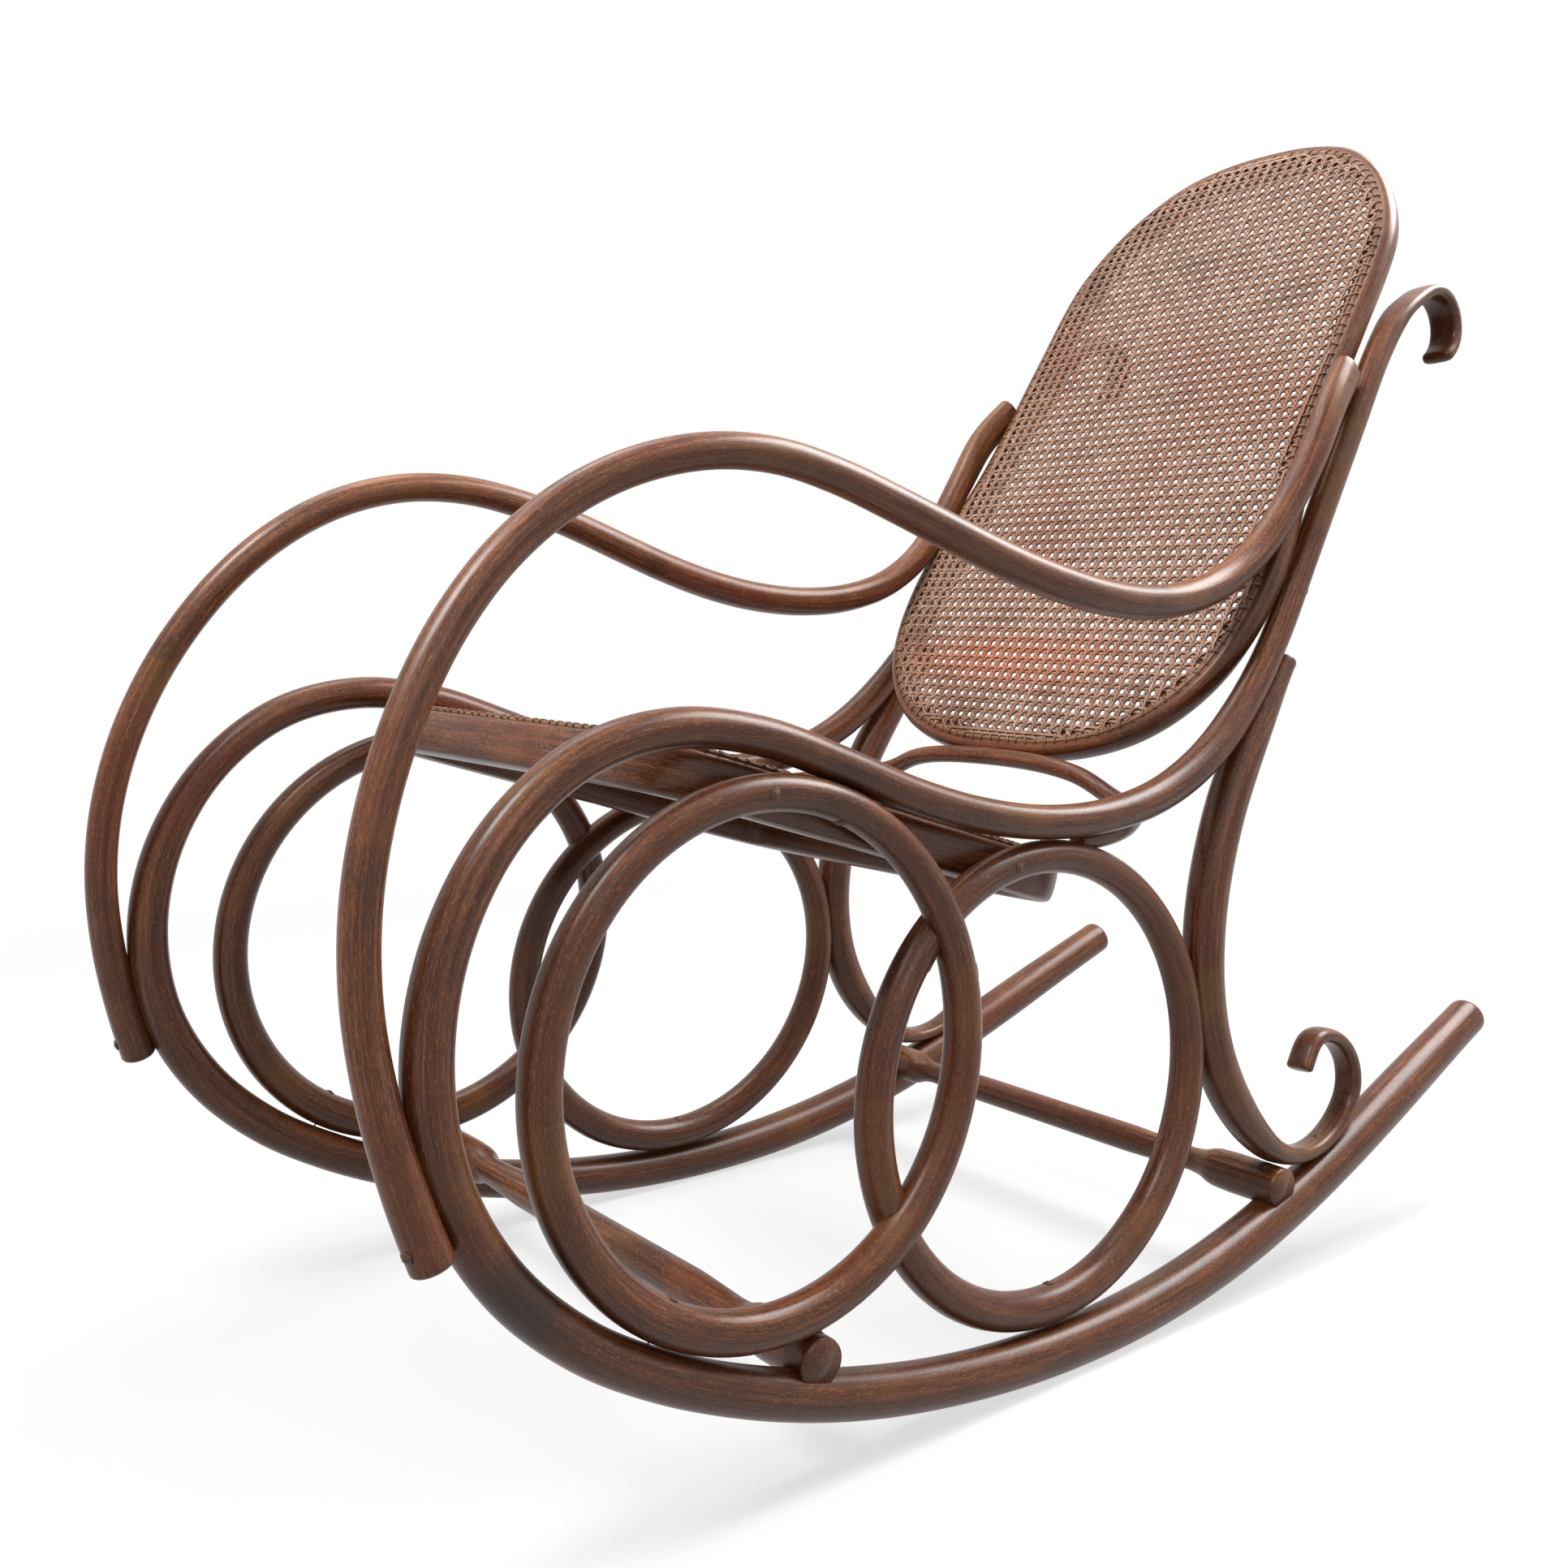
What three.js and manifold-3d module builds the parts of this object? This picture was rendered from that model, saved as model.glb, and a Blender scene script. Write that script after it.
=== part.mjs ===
// Bentwood rocking chair with a caned seat and a caned back, in millimetres.
// +X is the sitter's left, -Y is the front and +Z is up. The origin is at the floor,
// under the middle of the chair's box.
import * as THREE from 'three';
import { mergeGeometries, mergeVertices } from 'three/addons/utils/BufferGeometryUtils.js';
import Module from 'manifold-3d';

const wasm = await Module();
wasm.setup();

// Overall sizes of a side, which is bent flat and then stands leaning in.
const sideReach = 1200;
const sideRise = 880;
const floorHalfWidth = 257.5;
const sideLean = 3.4;
const sideToe = 0.92;

// Rod diameters along the long main bend, from the hook to the runner's tip.
const stripWidth = 30;
const stripThickness = 12.5;
const postDiameter = 25;
const rearBendDiameter = 29;
const seatBarDiameter = 26.5;
const loopDiameter = 32;
const runnerFrontDiameter = 36;
const runnerRearDiameter = 41;
const runnerTipDiameter = 37;
const hookRadius = 31.5;
const runnerFlatDepth = 1.8;

// The two rings of a side are halved into each other where they cross, beside the seat.
const ringTopDiameter = 25.5;
const ringBottomDiameter = 30;
const ringOffset = 5;

// Arm, S-shaped rear leg and cross hoop.
const armFrontDiameter = 28;
const armHumpDiameter = 25;
const armSlopeDiameter = 30;
const armEndWidth = 22;
const armEndDepth = 33;
const legDiameter = 35;
const legTipDiameter = 18;
const legStripWidth = 25;
const legStripThickness = 13.5;
const hoopDiameter = 16;

// Back: a bent rail with a cane panel held in a groove by a spline.
const backInset = 10.1;
const backHeight = 692.6;
const backTilt = 33.1;
const backSeatY = 244;
const backSeatZ = 588;
const backTravel = 100;
const railDiameter = 26;

// Seat: a bent band, sloping down to the rear, with a cane panel in a groove.
const seatDepth = 438;
const seatSlope = 17.2;
const seatMiddleY = -171;
const seatMiddleZ = 434;
const seatBandWidth = 30;
const seatBandHeight = 35;
const seatBandRounding = 5;
const seatGrooveOffset = 3.75;
const seatContactReach = 60;

// Grooves, splines and cane.
const grooveWidth = 4.6;
const grooveDepth = 4;
const splineProud = 1;
const caneThickness = 2.4;
const canePitch = 45;
const caneGap = 41.5;
const caneEdge = 4;

// Turned stretchers, notched to sit on the runners.
const stretcherBarrelDiameter = 35;
const stretcherSink = 10;
const stretcherOverhang = 12;
const barrelLength = 88;
const waistEnd = 98;
const frontWaistDiameter = 22;
const frontMiddleDiameter = 31;
const rearRodDiameter = 19.5;

// Round-headed wood screws, each through one piece and a grip's depth into the next.
const screwHeadDiameter = 9;
const screwHeadHeight = 2.6;
const screwRimHeight = 1;
const screwShankDiameter = 4.4;
const screwSink = 1;
const screwGrip = 12;

// Fits: the clearance that touching pieces keep, and how deep a seat is cut.
const clearance = 0.3;
const seatBite = 1.2;
const cutterRoom = 400;

// Counts of faces and steps.
const rodSides = 10;
const ringSides = 8;
const thinSides = 8;
const turnedSides = 10;
const screwSides = 6;
const ringSteps = 32;
const backSteps = 46;
const seatSteps = 40;
const caneGapSides = 4;
const fineSteps = 900;
const turnStep = 10;
const stationSpacing = 70;
const searchSteps = 40;

const degree = Math.PI / 180;

// Centreline of the main bend below the hook, as shares of sideReach and sideRise:
// down the post, round the rear bend, along the seat bar, round the front loop, and back
// along the runner to its tip.
const hookCentreShares = [0.4233, 0.9523];
const hookStartTurn = 105;
const hookEndTurn = -70;
const hookPoints = 6;
const bendShares = [
  [0.3983, 0.9761], [0.3808, 0.9625], [0.3700, 0.9500], [0.3575, 0.9307], [0.3400, 0.8989],
  [0.3108, 0.8375], [0.2775, 0.7682], [0.2429, 0.6957], [0.2116, 0.6299], [0.1740, 0.5690],
  [0.1295, 0.5194], [0.0777, 0.4875], [0.0206, 0.4737], [-0.0381, 0.4748], [-0.0950, 0.4875],
  [-0.1499, 0.5093], [-0.2037, 0.5377], [-0.2587, 0.5638], [-0.3161, 0.5734], [-0.3715, 0.5569],
  [-0.4180, 0.5103], [-0.4488, 0.4435], [-0.4610, 0.3671], [-0.4537, 0.2897], [-0.4270, 0.2199],
  [-0.3863, 0.1635], [-0.3379, 0.1210], [-0.2856, 0.0877], [-0.2312, 0.0615], [-0.1751, 0.0419],
  [-0.1180, 0.0285], [-0.0605, 0.0209], [-0.0028, 0.0191], [0.0549, 0.0230], [0.1123, 0.0329],
  [0.1690, 0.0485], [0.2247, 0.0695], [0.2793, 0.0943], [0.3334, 0.1219], [0.3872, 0.1503],
  [0.4320, 0.1735], [0.4750, 0.1955],
];

// Section of the main bend at numbered points of its centreline: width across the side,
// thickness in its plane, and 1 for round or less for a flatter strip.
const bendSections = [
  [0, stripWidth, stripThickness, 0.6],
  [7, stripWidth, stripThickness, 0.6],
  [10, postDiameter, postDiameter, 1],
  [14, postDiameter, postDiameter, 1],
  [16, rearBendDiameter, rearBendDiameter, 1],
  [19, seatBarDiameter, seatBarDiameter, 1],
  [25, seatBarDiameter, seatBarDiameter, 1],
  [29, loopDiameter, loopDiameter, 1],
  [31, loopDiameter, loopDiameter, 1],
  [35, runnerFrontDiameter, runnerFrontDiameter, 1],
  [41, runnerRearDiameter, runnerRearDiameter, 1],
  [44, runnerRearDiameter, runnerRearDiameter, 1],
  [47, runnerTipDiameter, runnerTipDiameter, 1],
];

// Numbered points of centrelines: where the front loop turns down, where the leg bears on
// the post, on the ring and on the runner, and where screws are driven.
const loopStart = 26;
const legTopPoint = 2;
const legRingPoint = 12;
const legFootPoint = 18;
const armHeldPoints = [8, 18];
const armFrontScrewPoint = 0.35;
const armRearScrewPoint = 25.6;
const hoopScrewInset = 0.4;
const seatScrewSteps = 1;

// Middles of the two rings along the side, and how much wider than high the rear one is.
const frontRingShare = -0.2625;
const rearRingShare = -0.0405;
const rearRingStretchShare = 1.02;

// Centreline of the arm from its front end to its rear end: shares of floorHalfWidth,
// sideReach and sideRise.
const armShares = [
  [1.022, -0.4676, 0.2480], [0.997, -0.4780, 0.2970], [0.968, -0.4871, 0.3572],
  [0.941, -0.4906, 0.4181], [0.917, -0.4866, 0.4783], [0.895, -0.4751, 0.5369],
  [0.871, -0.4567, 0.5931], [0.846, -0.4320, 0.6452], [0.827, -0.4015, 0.6908],
  [0.819, -0.3655, 0.7272], [0.823, -0.3250, 0.7524], [0.831, -0.2815, 0.7653],
  [0.832, -0.2368, 0.7652], [0.825, -0.1923, 0.7533], [0.825, -0.1488, 0.7345],
  [0.834, -0.1064, 0.7134], [0.844, -0.0645, 0.6932], [0.851, -0.0218, 0.6760],
  [0.850, 0.0229, 0.6636], [0.842, 0.0692, 0.6583], [0.834, 0.1148, 0.6627],
  [0.830, 0.1572, 0.6792], [0.838, 0.1943, 0.7102], [0.854, 0.2253, 0.7546],
  [0.864, 0.2519, 0.8061], [0.857, 0.2769, 0.8581], [0.827, 0.3066, 0.8975],
];
const armSections = [
  [0, armFrontDiameter, armFrontDiameter, 1],
  [3, armHumpDiameter, armHumpDiameter, 1],
  [11, armHumpDiameter, armHumpDiameter, 1],
  [18, armSlopeDiameter, armSlopeDiameter, 1],
  [23, armFrontDiameter, armFrontDiameter, 1],
  [26, armEndWidth, armEndDepth, 0.8],
];

// Centreline of the S-shaped leg from its tip behind the post to its curled foot.
const legShares = [
  [0.2257, 0.6017], [0.2160, 0.5870], [0.2025, 0.5652], [0.1860, 0.5369], [0.1707, 0.5075],
  [0.1580, 0.4769], [0.1490, 0.4452], [0.1420, 0.4122], [0.1371, 0.3779], [0.1349, 0.3425],
  [0.1352, 0.3063], [0.1387, 0.2703], [0.1452, 0.2354], [0.1545, 0.2023], [0.1665, 0.1720],
  [0.1815, 0.1454], [0.1991, 0.1252], [0.2235, 0.1155], [0.2511, 0.1199], [0.2768, 0.1371],
  [0.2928, 0.1631], [0.2912, 0.1936], [0.2720, 0.2192], [0.2467, 0.2231], [0.2303, 0.1944],
];
const legSections = [
  [0, legTipDiameter, legTipDiameter, 1],
  [5, legDiameter, legDiameter, 1],
  [13, legDiameter, legDiameter, 1],
  [18, legStripWidth, legStripThickness, 0.8],
  [24, legStripWidth, legStripThickness, 0.8],
];

// Half of the cross hoop, from its middle to its left end: share of floorHalfWidth, and
// shares of sideReach and sideRise from the middle of the back's bottom rail.
const hoopShares = [
  [0, -0.0055, -0.0201], [0.28, -0.0088, -0.0224], [0.42, -0.0083, -0.0290],
  [0.54, -0.0083, -0.0420], [0.70, -0.0223, -0.0510], [0.81, -0.0543, -0.0550],
  [0.87, -0.0883, -0.0570], [0.88, -0.1213, -0.0585],
];

// Half outline of the back's rail centreline, from the bottom to the top: shares of
// backHalfWidth and of backHeight above the height where the back is set.
const backShares = [
  [0, -0.2393], [0.230, -0.2385], [0.450, -0.2266], [0.640, -0.2035], [0.790, -0.1685],
  [0.905, -0.1210], [0.972, -0.0640], [1.000, 0.0090], [0.985, 0.0750], [0.948, 0.1350],
  [0.908, 0.2050], [0.889, 0.2850], [0.883, 0.3700], [0.876, 0.4410], [0.871, 0.5030],
  [0.848, 0.5650], [0.780, 0.6180], [0.660, 0.6740], [0.494, 0.7190], [0.381, 0.7360],
  [0.190, 0.7495], [0, 0.7525],
];

// Half outline of the seat band's outer edge, from the front to the rear: shares of the
// half width that the sides leave there and of seatDepth. The band bears on the front rings
// and on the rear rings at two places along the depth.
const seatFrontContactShare = -0.34;
const seatRearContactShare = 0.29;
const seatShares = [
  [0, -0.500], [0.350, -0.500], [0.640, -0.500], [0.820, -0.490], [0.925, -0.455],
  [0.975, -0.410], [0.998, -0.330], [1.000, -0.200], [1.000, -0.060], [1.000, 0.090],
  [0.998, 0.230], [0.982, 0.345], [0.930, 0.425], [0.840, 0.468], [0.680, 0.488],
  [0.450, 0.497], [0.220, 0.500], [0, 0.500],
];

// Section of the back's rail, its flat face forward: shares of railDiameter, forward and
// outward. The groove comes between its two halves.
const railInnerShares = [
  [-0.78, -0.42], [-0.42, -0.50], [-0.12, -0.46], [0, -0.34],
];
const railOuterShares = [
  [0, 0.28], [-0.14, 0.46], [-0.45, 0.50], [-0.78, 0.42], [-1, 0.18], [-1, -0.18],
];

// Turned outline of a stretcher's barrel end: shares of barrelLength from the end and of
// the barrel's diameter.
const barrelShares = [
  [0, 0.90], [0.03, 0.97], [0.25, 1.00], [0.60, 1.02], [0.82, 0.93], [1.00, 0.66],
];

// Where the stretchers come along the side, and how far their fuller middle reaches.
const fullEndShare = 0.33;
const frontStretcherShare = -0.249;
const rearStretcherShare = 0.198;

const wood = { color: 0x4a2a1c, roughness: 0.38, metalness: 0 };
const paleWood = { color: 0x5b3524, roughness: 0.42, metalness: 0 };
const cane = { color: 0xa07a52, roughness: 0.55, metalness: 0 };
const reed = { color: 0x8a6440, roughness: 0.5, metalness: 0 };
const steel = { color: 0x4b4038, roughness: 0.45, metalness: 0.8 };

const chair = new THREE.Group();

// The place of a side: it stands on the floor, leans in and toes in.
function sideGroup(sign) {
  const group = new THREE.Group();
  group.position.x = sign * floorHalfWidth;
  group.rotation.order = 'ZYX';
  group.rotation.set(0, -sign * sideLean * degree, sign * sideToe * degree);
  group.updateMatrixWorld(true);
  return group;
}

const leftSide = sideGroup(1);
const rightSide = sideGroup(-1);

function onSide(yShare, zShare) {
  const point = new THREE.Vector3(0, yShare * sideReach, zShare * sideRise);
  return point.applyMatrix4(leftSide.matrixWorld);
}

// A smooth curve through points, walked in steps that shorten where it turns.
function stationsAlong(points) {
  const curve = new THREE.CatmullRomCurve3(points, false, 'centripetal');
  const stations = [];
  let last = null;
  for (let k = 0; k <= fineSteps; k += 1) {
    const share = k / fineSteps;
    const point = curve.getPoint(share);
    const tangent = curve.getTangent(share);
    const ended = k === 0 || k === fineSteps;
    const turned = last && last.tangent.angleTo(tangent) > turnStep * degree;
    const run = last && last.point.distanceTo(point) > stationSpacing;
    if (ended || turned || run) {
      last = { point, tangent, index: share * (points.length - 1) };
      stations.push(last);
    }
  }
  return stations;
}

// A smooth closed curve through points, walked in equal steps.
function stationsRound(points, steps) {
  const curve = new THREE.CatmullRomCurve3(points, true, 'centripetal');
  const stations = [];
  for (let k = 0; k < steps; k += 1) {
    const share = k / steps;
    stations.push({ point: curve.getPointAt(share), tangent: curve.getTangentAt(share) });
  }
  return stations;
}

// Width, thickness and squareness between the numbered points of a section table.
function sectionAt(sections, index) {
  const next = sections.findIndex((row) => row[0] >= index);
  if (next <= 0) {
    return sections[next === 0 ? 0 : sections.length - 1].slice(1);
  }
  const [before, after] = [sections[next - 1], sections[next]];
  const share = THREE.MathUtils.smoothstep(index, before[0], after[0]);
  return before.slice(1).map((value, k) => THREE.MathUtils.lerp(value, after[k + 1], share));
}

// The corners of a rod's section, with a flat at its top and bottom.
function rodSection(width, thickness, squareness, sides) {
  const corners = [];
  for (let k = 0; k < sides; k += 1) {
    const turn = Math.PI / 2 + ((k + 0.5) / sides) * 2 * Math.PI;
    const across = Math.sign(Math.cos(turn)) * Math.abs(Math.cos(turn)) ** squareness;
    const along = Math.sign(Math.sin(turn)) * Math.abs(Math.sin(turn)) ** squareness;
    corners.push([(across * width) / 2, (along * thickness) / 2]);
  }
  return corners;
}

// A closed skin over rings of corners carried along stations. The first number of a corner
// runs along the axis 'across', and the second square to it and to the path.
function loft(stations, cornersAt, across, closed) {
  const positions = [];
  const faces = [];
  let sides = 0;
  stations.forEach((station, k) => {
    const first = across.clone();
    first.addScaledVector(station.tangent, -across.dot(station.tangent)).normalize();
    const second = station.tangent.clone().cross(first).normalize();
    const corners = cornersAt(station, k);
    sides = corners.length;
    for (const [a, b] of corners) {
      const corner = station.point.clone().addScaledVector(first, a).addScaledVector(second, b);
      positions.push(corner.x, corner.y, corner.z);
    }
  });
  const rings = stations.length;
  for (let k = 0; k < (closed ? rings : rings - 1); k += 1) {
    const here = k * sides;
    const there = ((k + 1) % rings) * sides;
    for (let i = 0; i < sides; i += 1) {
      const j = (i + 1) % sides;
      faces.push(here + i, here + j, there + j, here + i, there + j, there + i);
    }
  }
  if (!closed) {
    const last = (rings - 1) * sides;
    for (let i = 1; i < sides - 1; i += 1) {
      faces.push(0, i + 1, i, last, last + i, last + i + 1);
    }
  }
  const geometry = new THREE.BufferGeometry();
  geometry.setAttribute('position', new THREE.Float32BufferAttribute(positions, 3));
  geometry.setIndex(faces);
  return geometry;
}

function toSolid(geometry) {
  const bare = geometry.clone();
  bare.deleteAttribute('normal');
  bare.deleteAttribute('uv');
  const merged = mergeVertices(bare);
  return new wasm.Manifold(new wasm.Mesh({
    numProp: 3,
    vertProperties: new Float32Array(merged.attributes.position.array),
    triVerts: new Uint32Array(merged.index.array),
  }));
}

function toGeometry(solid) {
  const mesh = solid.getMesh();
  const geometry = new THREE.BufferGeometry();
  geometry.setAttribute('position', new THREE.BufferAttribute(mesh.vertProperties, 3));
  geometry.setIndex(new THREE.BufferAttribute(mesh.triVerts, 1));
  return geometry;
}

// The same geometry on the other side of the chair, turned right side out again.
function mirrored(geometry) {
  const copy = geometry.clone().scale(-1, 1, 1);
  const index = copy.index.array;
  for (let k = 0; k < index.length; k += 3) {
    [index[k + 1], index[k + 2]] = [index[k + 2], index[k + 1]];
  }
  return copy;
}

function addMesh(group, name, geometry, finish) {
  const local = geometry.clone().applyMatrix4(group.matrixWorld.clone().invert());
  local.computeVertexNormals();
  const mesh = new THREE.Mesh(local, new THREE.MeshStandardMaterial(finish));
  mesh.name = name;
  group.add(mesh);
}

const acrossChair = new THREE.Vector3(1, 0, 0);
const acrossSide = acrossChair.clone().transformDirection(leftSide.matrixWorld);

// A bent rod: its stations, the balls it is made of for finding where it touches, and its
// solid, grown by a clearance where it serves as a cutter.
function bentRod(points, sections, across, sides) {
  const stations = stationsAlong(points);
  const grown = (more) => toSolid(loft(stations, (station) => {
    const [width, thickness, squareness] = sectionAt(sections, station.index);
    return rodSection(width + 2 * more, thickness + 2 * more, squareness, sides);
  }, across, false));
  const curve = new THREE.CatmullRomCurve3(points, false, 'centripetal');
  const balls = [];
  for (let k = 0; k <= fineSteps; k += 1) {
    const share = k / fineSteps;
    const size = sectionAt(sections, share * (points.length - 1));
    const radius = Math.min(size[0], size[1]) / 2;
    balls.push({ point: curve.getPoint(share), radius, index: share * (points.length - 1) });
  }
  return { points, stations, grown, balls };
}

function nearestBall(point, balls) {
  let best = null;
  let least = Infinity;
  for (const ball of balls) {
    const gap = ball.point.distanceTo(point) - ball.radius;
    if (gap < least) {
      least = gap;
      best = ball;
    }
  }
  return best;
}

// Springs a rod's points until it bears on each neighbour in its list, with the shift
// fading between one seat and the next.
function sprung(points, sections, seats, held) {
  const shifts = seats.map((seat) => {
    const point = points[seat.index];
    const ball = nearestBall(point, seat.balls);
    const size = sectionAt(sections, seat.index);
    const reach = Math.min(size[0], size[1]) / 2 + ball.radius + clearance - seatBite;
    const away = point.clone().sub(ball.point);
    return { index: seat.index, shift: away.clone().setLength(reach - away.length()) };
  });
  for (const index of held) {
    shifts.push({ index, shift: new THREE.Vector3() });
  }
  shifts.sort((one, other) => one.index - other.index);
  return points.map((point, index) => {
    const after = shifts.findIndex((entry) => entry.index >= index);
    if (after === 0 || after === -1) {
      return point.clone().add(shifts[after === 0 ? 0 : shifts.length - 1].shift);
    }
    const [one, other] = [shifts[after - 1], shifts[after]];
    const share = THREE.MathUtils.smoothstep(index, one.index, other.index);
    return point.clone().add(one.shift.clone().lerp(other.shift, share));
  });
}

// Main bend: hook, post, rear bend, seat bar, front loop and runner in one rod.
function mainBend() {
  const points = [];
  const centre = onSide(...hookCentreShares);
  for (let k = 0; k < hookPoints; k += 1) {
    const turn = THREE.MathUtils.lerp(hookEndTurn, hookStartTurn, k / (hookPoints - 1)) * degree;
    const outward = new THREE.Vector3(0, Math.cos(turn), Math.sin(turn));
    outward.transformDirection(leftSide.matrixWorld);
    points.push(centre.clone().addScaledVector(outward, hookRadius));
  }
  for (const shares of bendShares) {
    points.push(onSide(...shares));
  }
  return bentRod(points, bendSections, acrossSide, rodSides);
}

const bend = mainBend();
const frontMost = bend.balls.reduce((one, other) => (other.point.y < one.point.y ? other : one));
const barBalls = bend.balls.filter((ball) => ball.index < frontMost.index);
const runnerBalls = bend.balls.filter((ball) => ball.index >= frontMost.index);
const runnerBottom = runnerBalls.reduce((low, ball) => Math.min(low, ball.point.z - ball.radius),
  Infinity);

// A ring stands between the seat bar above and the runner below and touches both. Its
// middle is found where its rod reaches each of them with the same radius.
function sideRing(share, offset, stretch) {
  const toSide = leftSide.matrixWorld.clone().invert();
  const flat = (balls) => balls.map((ball) => {
    const local = ball.point.clone().applyMatrix4(toSide);
    return { y: local.y, z: local.z, radius: ball.radius };
  });
  const above = flat(barBalls);
  const below = flat(runnerBalls);
  const y = share * sideReach;
  const reach = (balls, z, diameter) => Math.min(...balls.map((ball) => {
    const touch = ball.radius + diameter / 2 + clearance;
    const inPlane = Math.sqrt(touch * touch - offset * offset);
    return Math.hypot(ball.y - y, ball.z - z) - inPlane;
  }));
  let low = Math.min(...below.map((ball) => ball.z));
  let high = Math.max(...above.filter((ball) => Math.abs(ball.y - y) < seatBarDiameter)
    .map((ball) => ball.z));
  for (let k = 0; k < searchSteps; k += 1) {
    const z = (low + high) / 2;
    if (reach(above, z, ringTopDiameter) > reach(below, z, ringBottomDiameter)) {
      low = z;
    } else {
      high = z;
    }
  }
  const radius = reach(above, low, ringTopDiameter);
  const stations = [];
  const balls = [];
  for (let k = 0; k < ringSteps; k += 1) {
    const turn = (k / ringSteps) * 2 * Math.PI;
    const rise = Math.sin(turn);
    const point = new THREE.Vector3(offset, y + stretch * radius * Math.cos(turn),
      low + radius * rise);
    const tangent = new THREE.Vector3(0, -stretch * rise, Math.cos(turn)).normalize();
    const diameter = THREE.MathUtils.lerp(ringBottomDiameter, ringTopDiameter, (1 + rise) / 2);
    point.applyMatrix4(leftSide.matrixWorld);
    tangent.transformDirection(leftSide.matrixWorld);
    stations.push({ point, tangent, diameter });
    balls.push({ point, radius: diameter / 2 });
  }
  const grown = (more) => toSolid(loft(stations, (station) => {
    const size = station.diameter + 2 * more;
    return rodSection(size, size, 1, ringSides);
  }, acrossSide, true));
  return { grown, balls, radius, y, z: low };
}

const frontRing = sideRing(frontRingShare, ringOffset, 1);
const rearRing = sideRing(rearRingShare, -ringOffset, rearRingStretchShare);

// Half of all space, on one side of the plane midway between the two rings.
function halfSpace(sign) {
  const box = new THREE.BoxGeometry(cutterRoom, 2 * sideReach, 2 * sideRise);
  box.translate((sign * (cutterRoom - clearance)) / 2, 0, 0);
  return toSolid(box.applyMatrix4(leftSide.matrixWorld));
}

// Back group: its plane tilts to the rear, and it is set as far back as the posts allow.
const backGroup = new THREE.Group();
backGroup.rotation.x = -backTilt * degree;
backGroup.position.set(0, backSeatY, backSeatZ);
backGroup.updateMatrixWorld(true);
const backHalfWidth = onSide(backSeatY / sideReach, backSeatZ / sideRise).x - backInset;

function mirroredOutline(half) {
  const other = half.slice(1, -1).reverse().map(([x, y]) => [-x, y]);
  return [...half, ...other];
}

const backOutline = mirroredOutline(backShares
  .map(([x, z]) => [x * backHalfWidth, z * backHeight]));
const backStations = stationsRound(backOutline.map(([x, z]) => new THREE.Vector3(x, 0, z)),
  backSteps);
const backForward = new THREE.Vector3(0, -1, 0);

function railBalls(matrix) {
  return backStations.map((station) => {
    const point = station.point.clone().addScaledVector(backForward, -railDiameter / 2);
    return { point: point.applyMatrix4(matrix), radius: railDiameter / 2 };
  });
}

function leastGap(balls, others) {
  let least = Infinity;
  for (const ball of balls) {
    for (const other of others) {
      least = Math.min(least, ball.point.distanceTo(other.point) - ball.radius - other.radius);
    }
  }
  return least;
}

function seatBack() {
  const normal = new THREE.Vector3(0, 1, 0).transformDirection(backGroup.matrixWorld);
  const start = backGroup.position.clone();
  let near = -backTravel;
  let far = backTravel;
  for (let k = 0; k < searchSteps; k += 1) {
    const shift = (near + far) / 2;
    backGroup.position.copy(start).addScaledVector(normal, shift);
    backGroup.updateMatrixWorld(true);
    if (leastGap(railBalls(backGroup.matrixWorld), barBalls) > clearance - seatBite) {
      near = shift;
    } else {
      far = shift;
    }
  }
}

seatBack();
const backRailBalls = railBalls(backGroup.matrixWorld);

// A band's section with a groove in its face for the spline.
function grooved(inner, outer, middle) {
  return [
    ...inner,
    [0, middle - grooveWidth / 2], [-grooveDepth, middle - grooveWidth / 2],
    [-grooveDepth, middle + grooveWidth / 2], [0, middle + grooveWidth / 2],
    ...outer,
  ];
}

function splineSection(middle) {
  const half = grooveWidth / 2 - clearance;
  return [
    [-grooveDepth + clearance, middle - half], [splineProud, middle - half],
    [splineProud, middle + half], [-grooveDepth + clearance, middle + half],
  ];
}

// A cane panel: a flat sheet inside the spline, with gaps in rows cut through it.
function caneSheet(edge) {
  const shape = new THREE.Shape(edge.map(([x, y]) => new THREE.Vector2(x, y)));
  const inside = (x, y) => edge.reduce((count, [ax, ay], k) => {
    const [bx, by] = edge[(k + 1) % edge.length];
    const crosses = (ay > y) !== (by > y) && x < ((bx - ax) * (y - ay)) / (by - ay) + ax;
    return crosses ? !count : count;
  }, false);
  const reach = Math.max(...edge.map(([x, y]) => Math.hypot(x, y)));
  const rows = Math.ceil(reach / canePitch);
  const guard = (caneGap / 2) * Math.cos(Math.PI / caneGapSides) + caneEdge;
  const corners = [[-1, -1], [-1, 1], [1, 1], [1, -1]];
  const gaps = [];
  for (let row = -rows; row <= rows; row += 1) {
    for (let column = -rows; column <= rows; column += 1) {
      const [x, y] = [column * canePitch, (row + 0.5) * canePitch];
      if (corners.every(([a, b]) => inside(x + a * guard, y + b * guard))) {
        const gap = new THREE.CylinderGeometry(caneGap / 2, caneGap / 2, 3 * caneThickness,
          caneGapSides);
        gap.rotateX(Math.PI / 2).rotateZ(Math.PI / caneGapSides);
        gaps.push(gap.translate(x, y, caneThickness / 2));
      }
    }
  }
  const sheet = new THREE.ExtrudeGeometry(shape, { depth: caneThickness, bevelEnabled: false });
  return toGeometry(toSolid(sheet).subtract(toSolid(mergeGeometries(gaps))));
}

function outwardAt(station, across) {
  return station.tangent.clone().cross(across).normalize();
}

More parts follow.
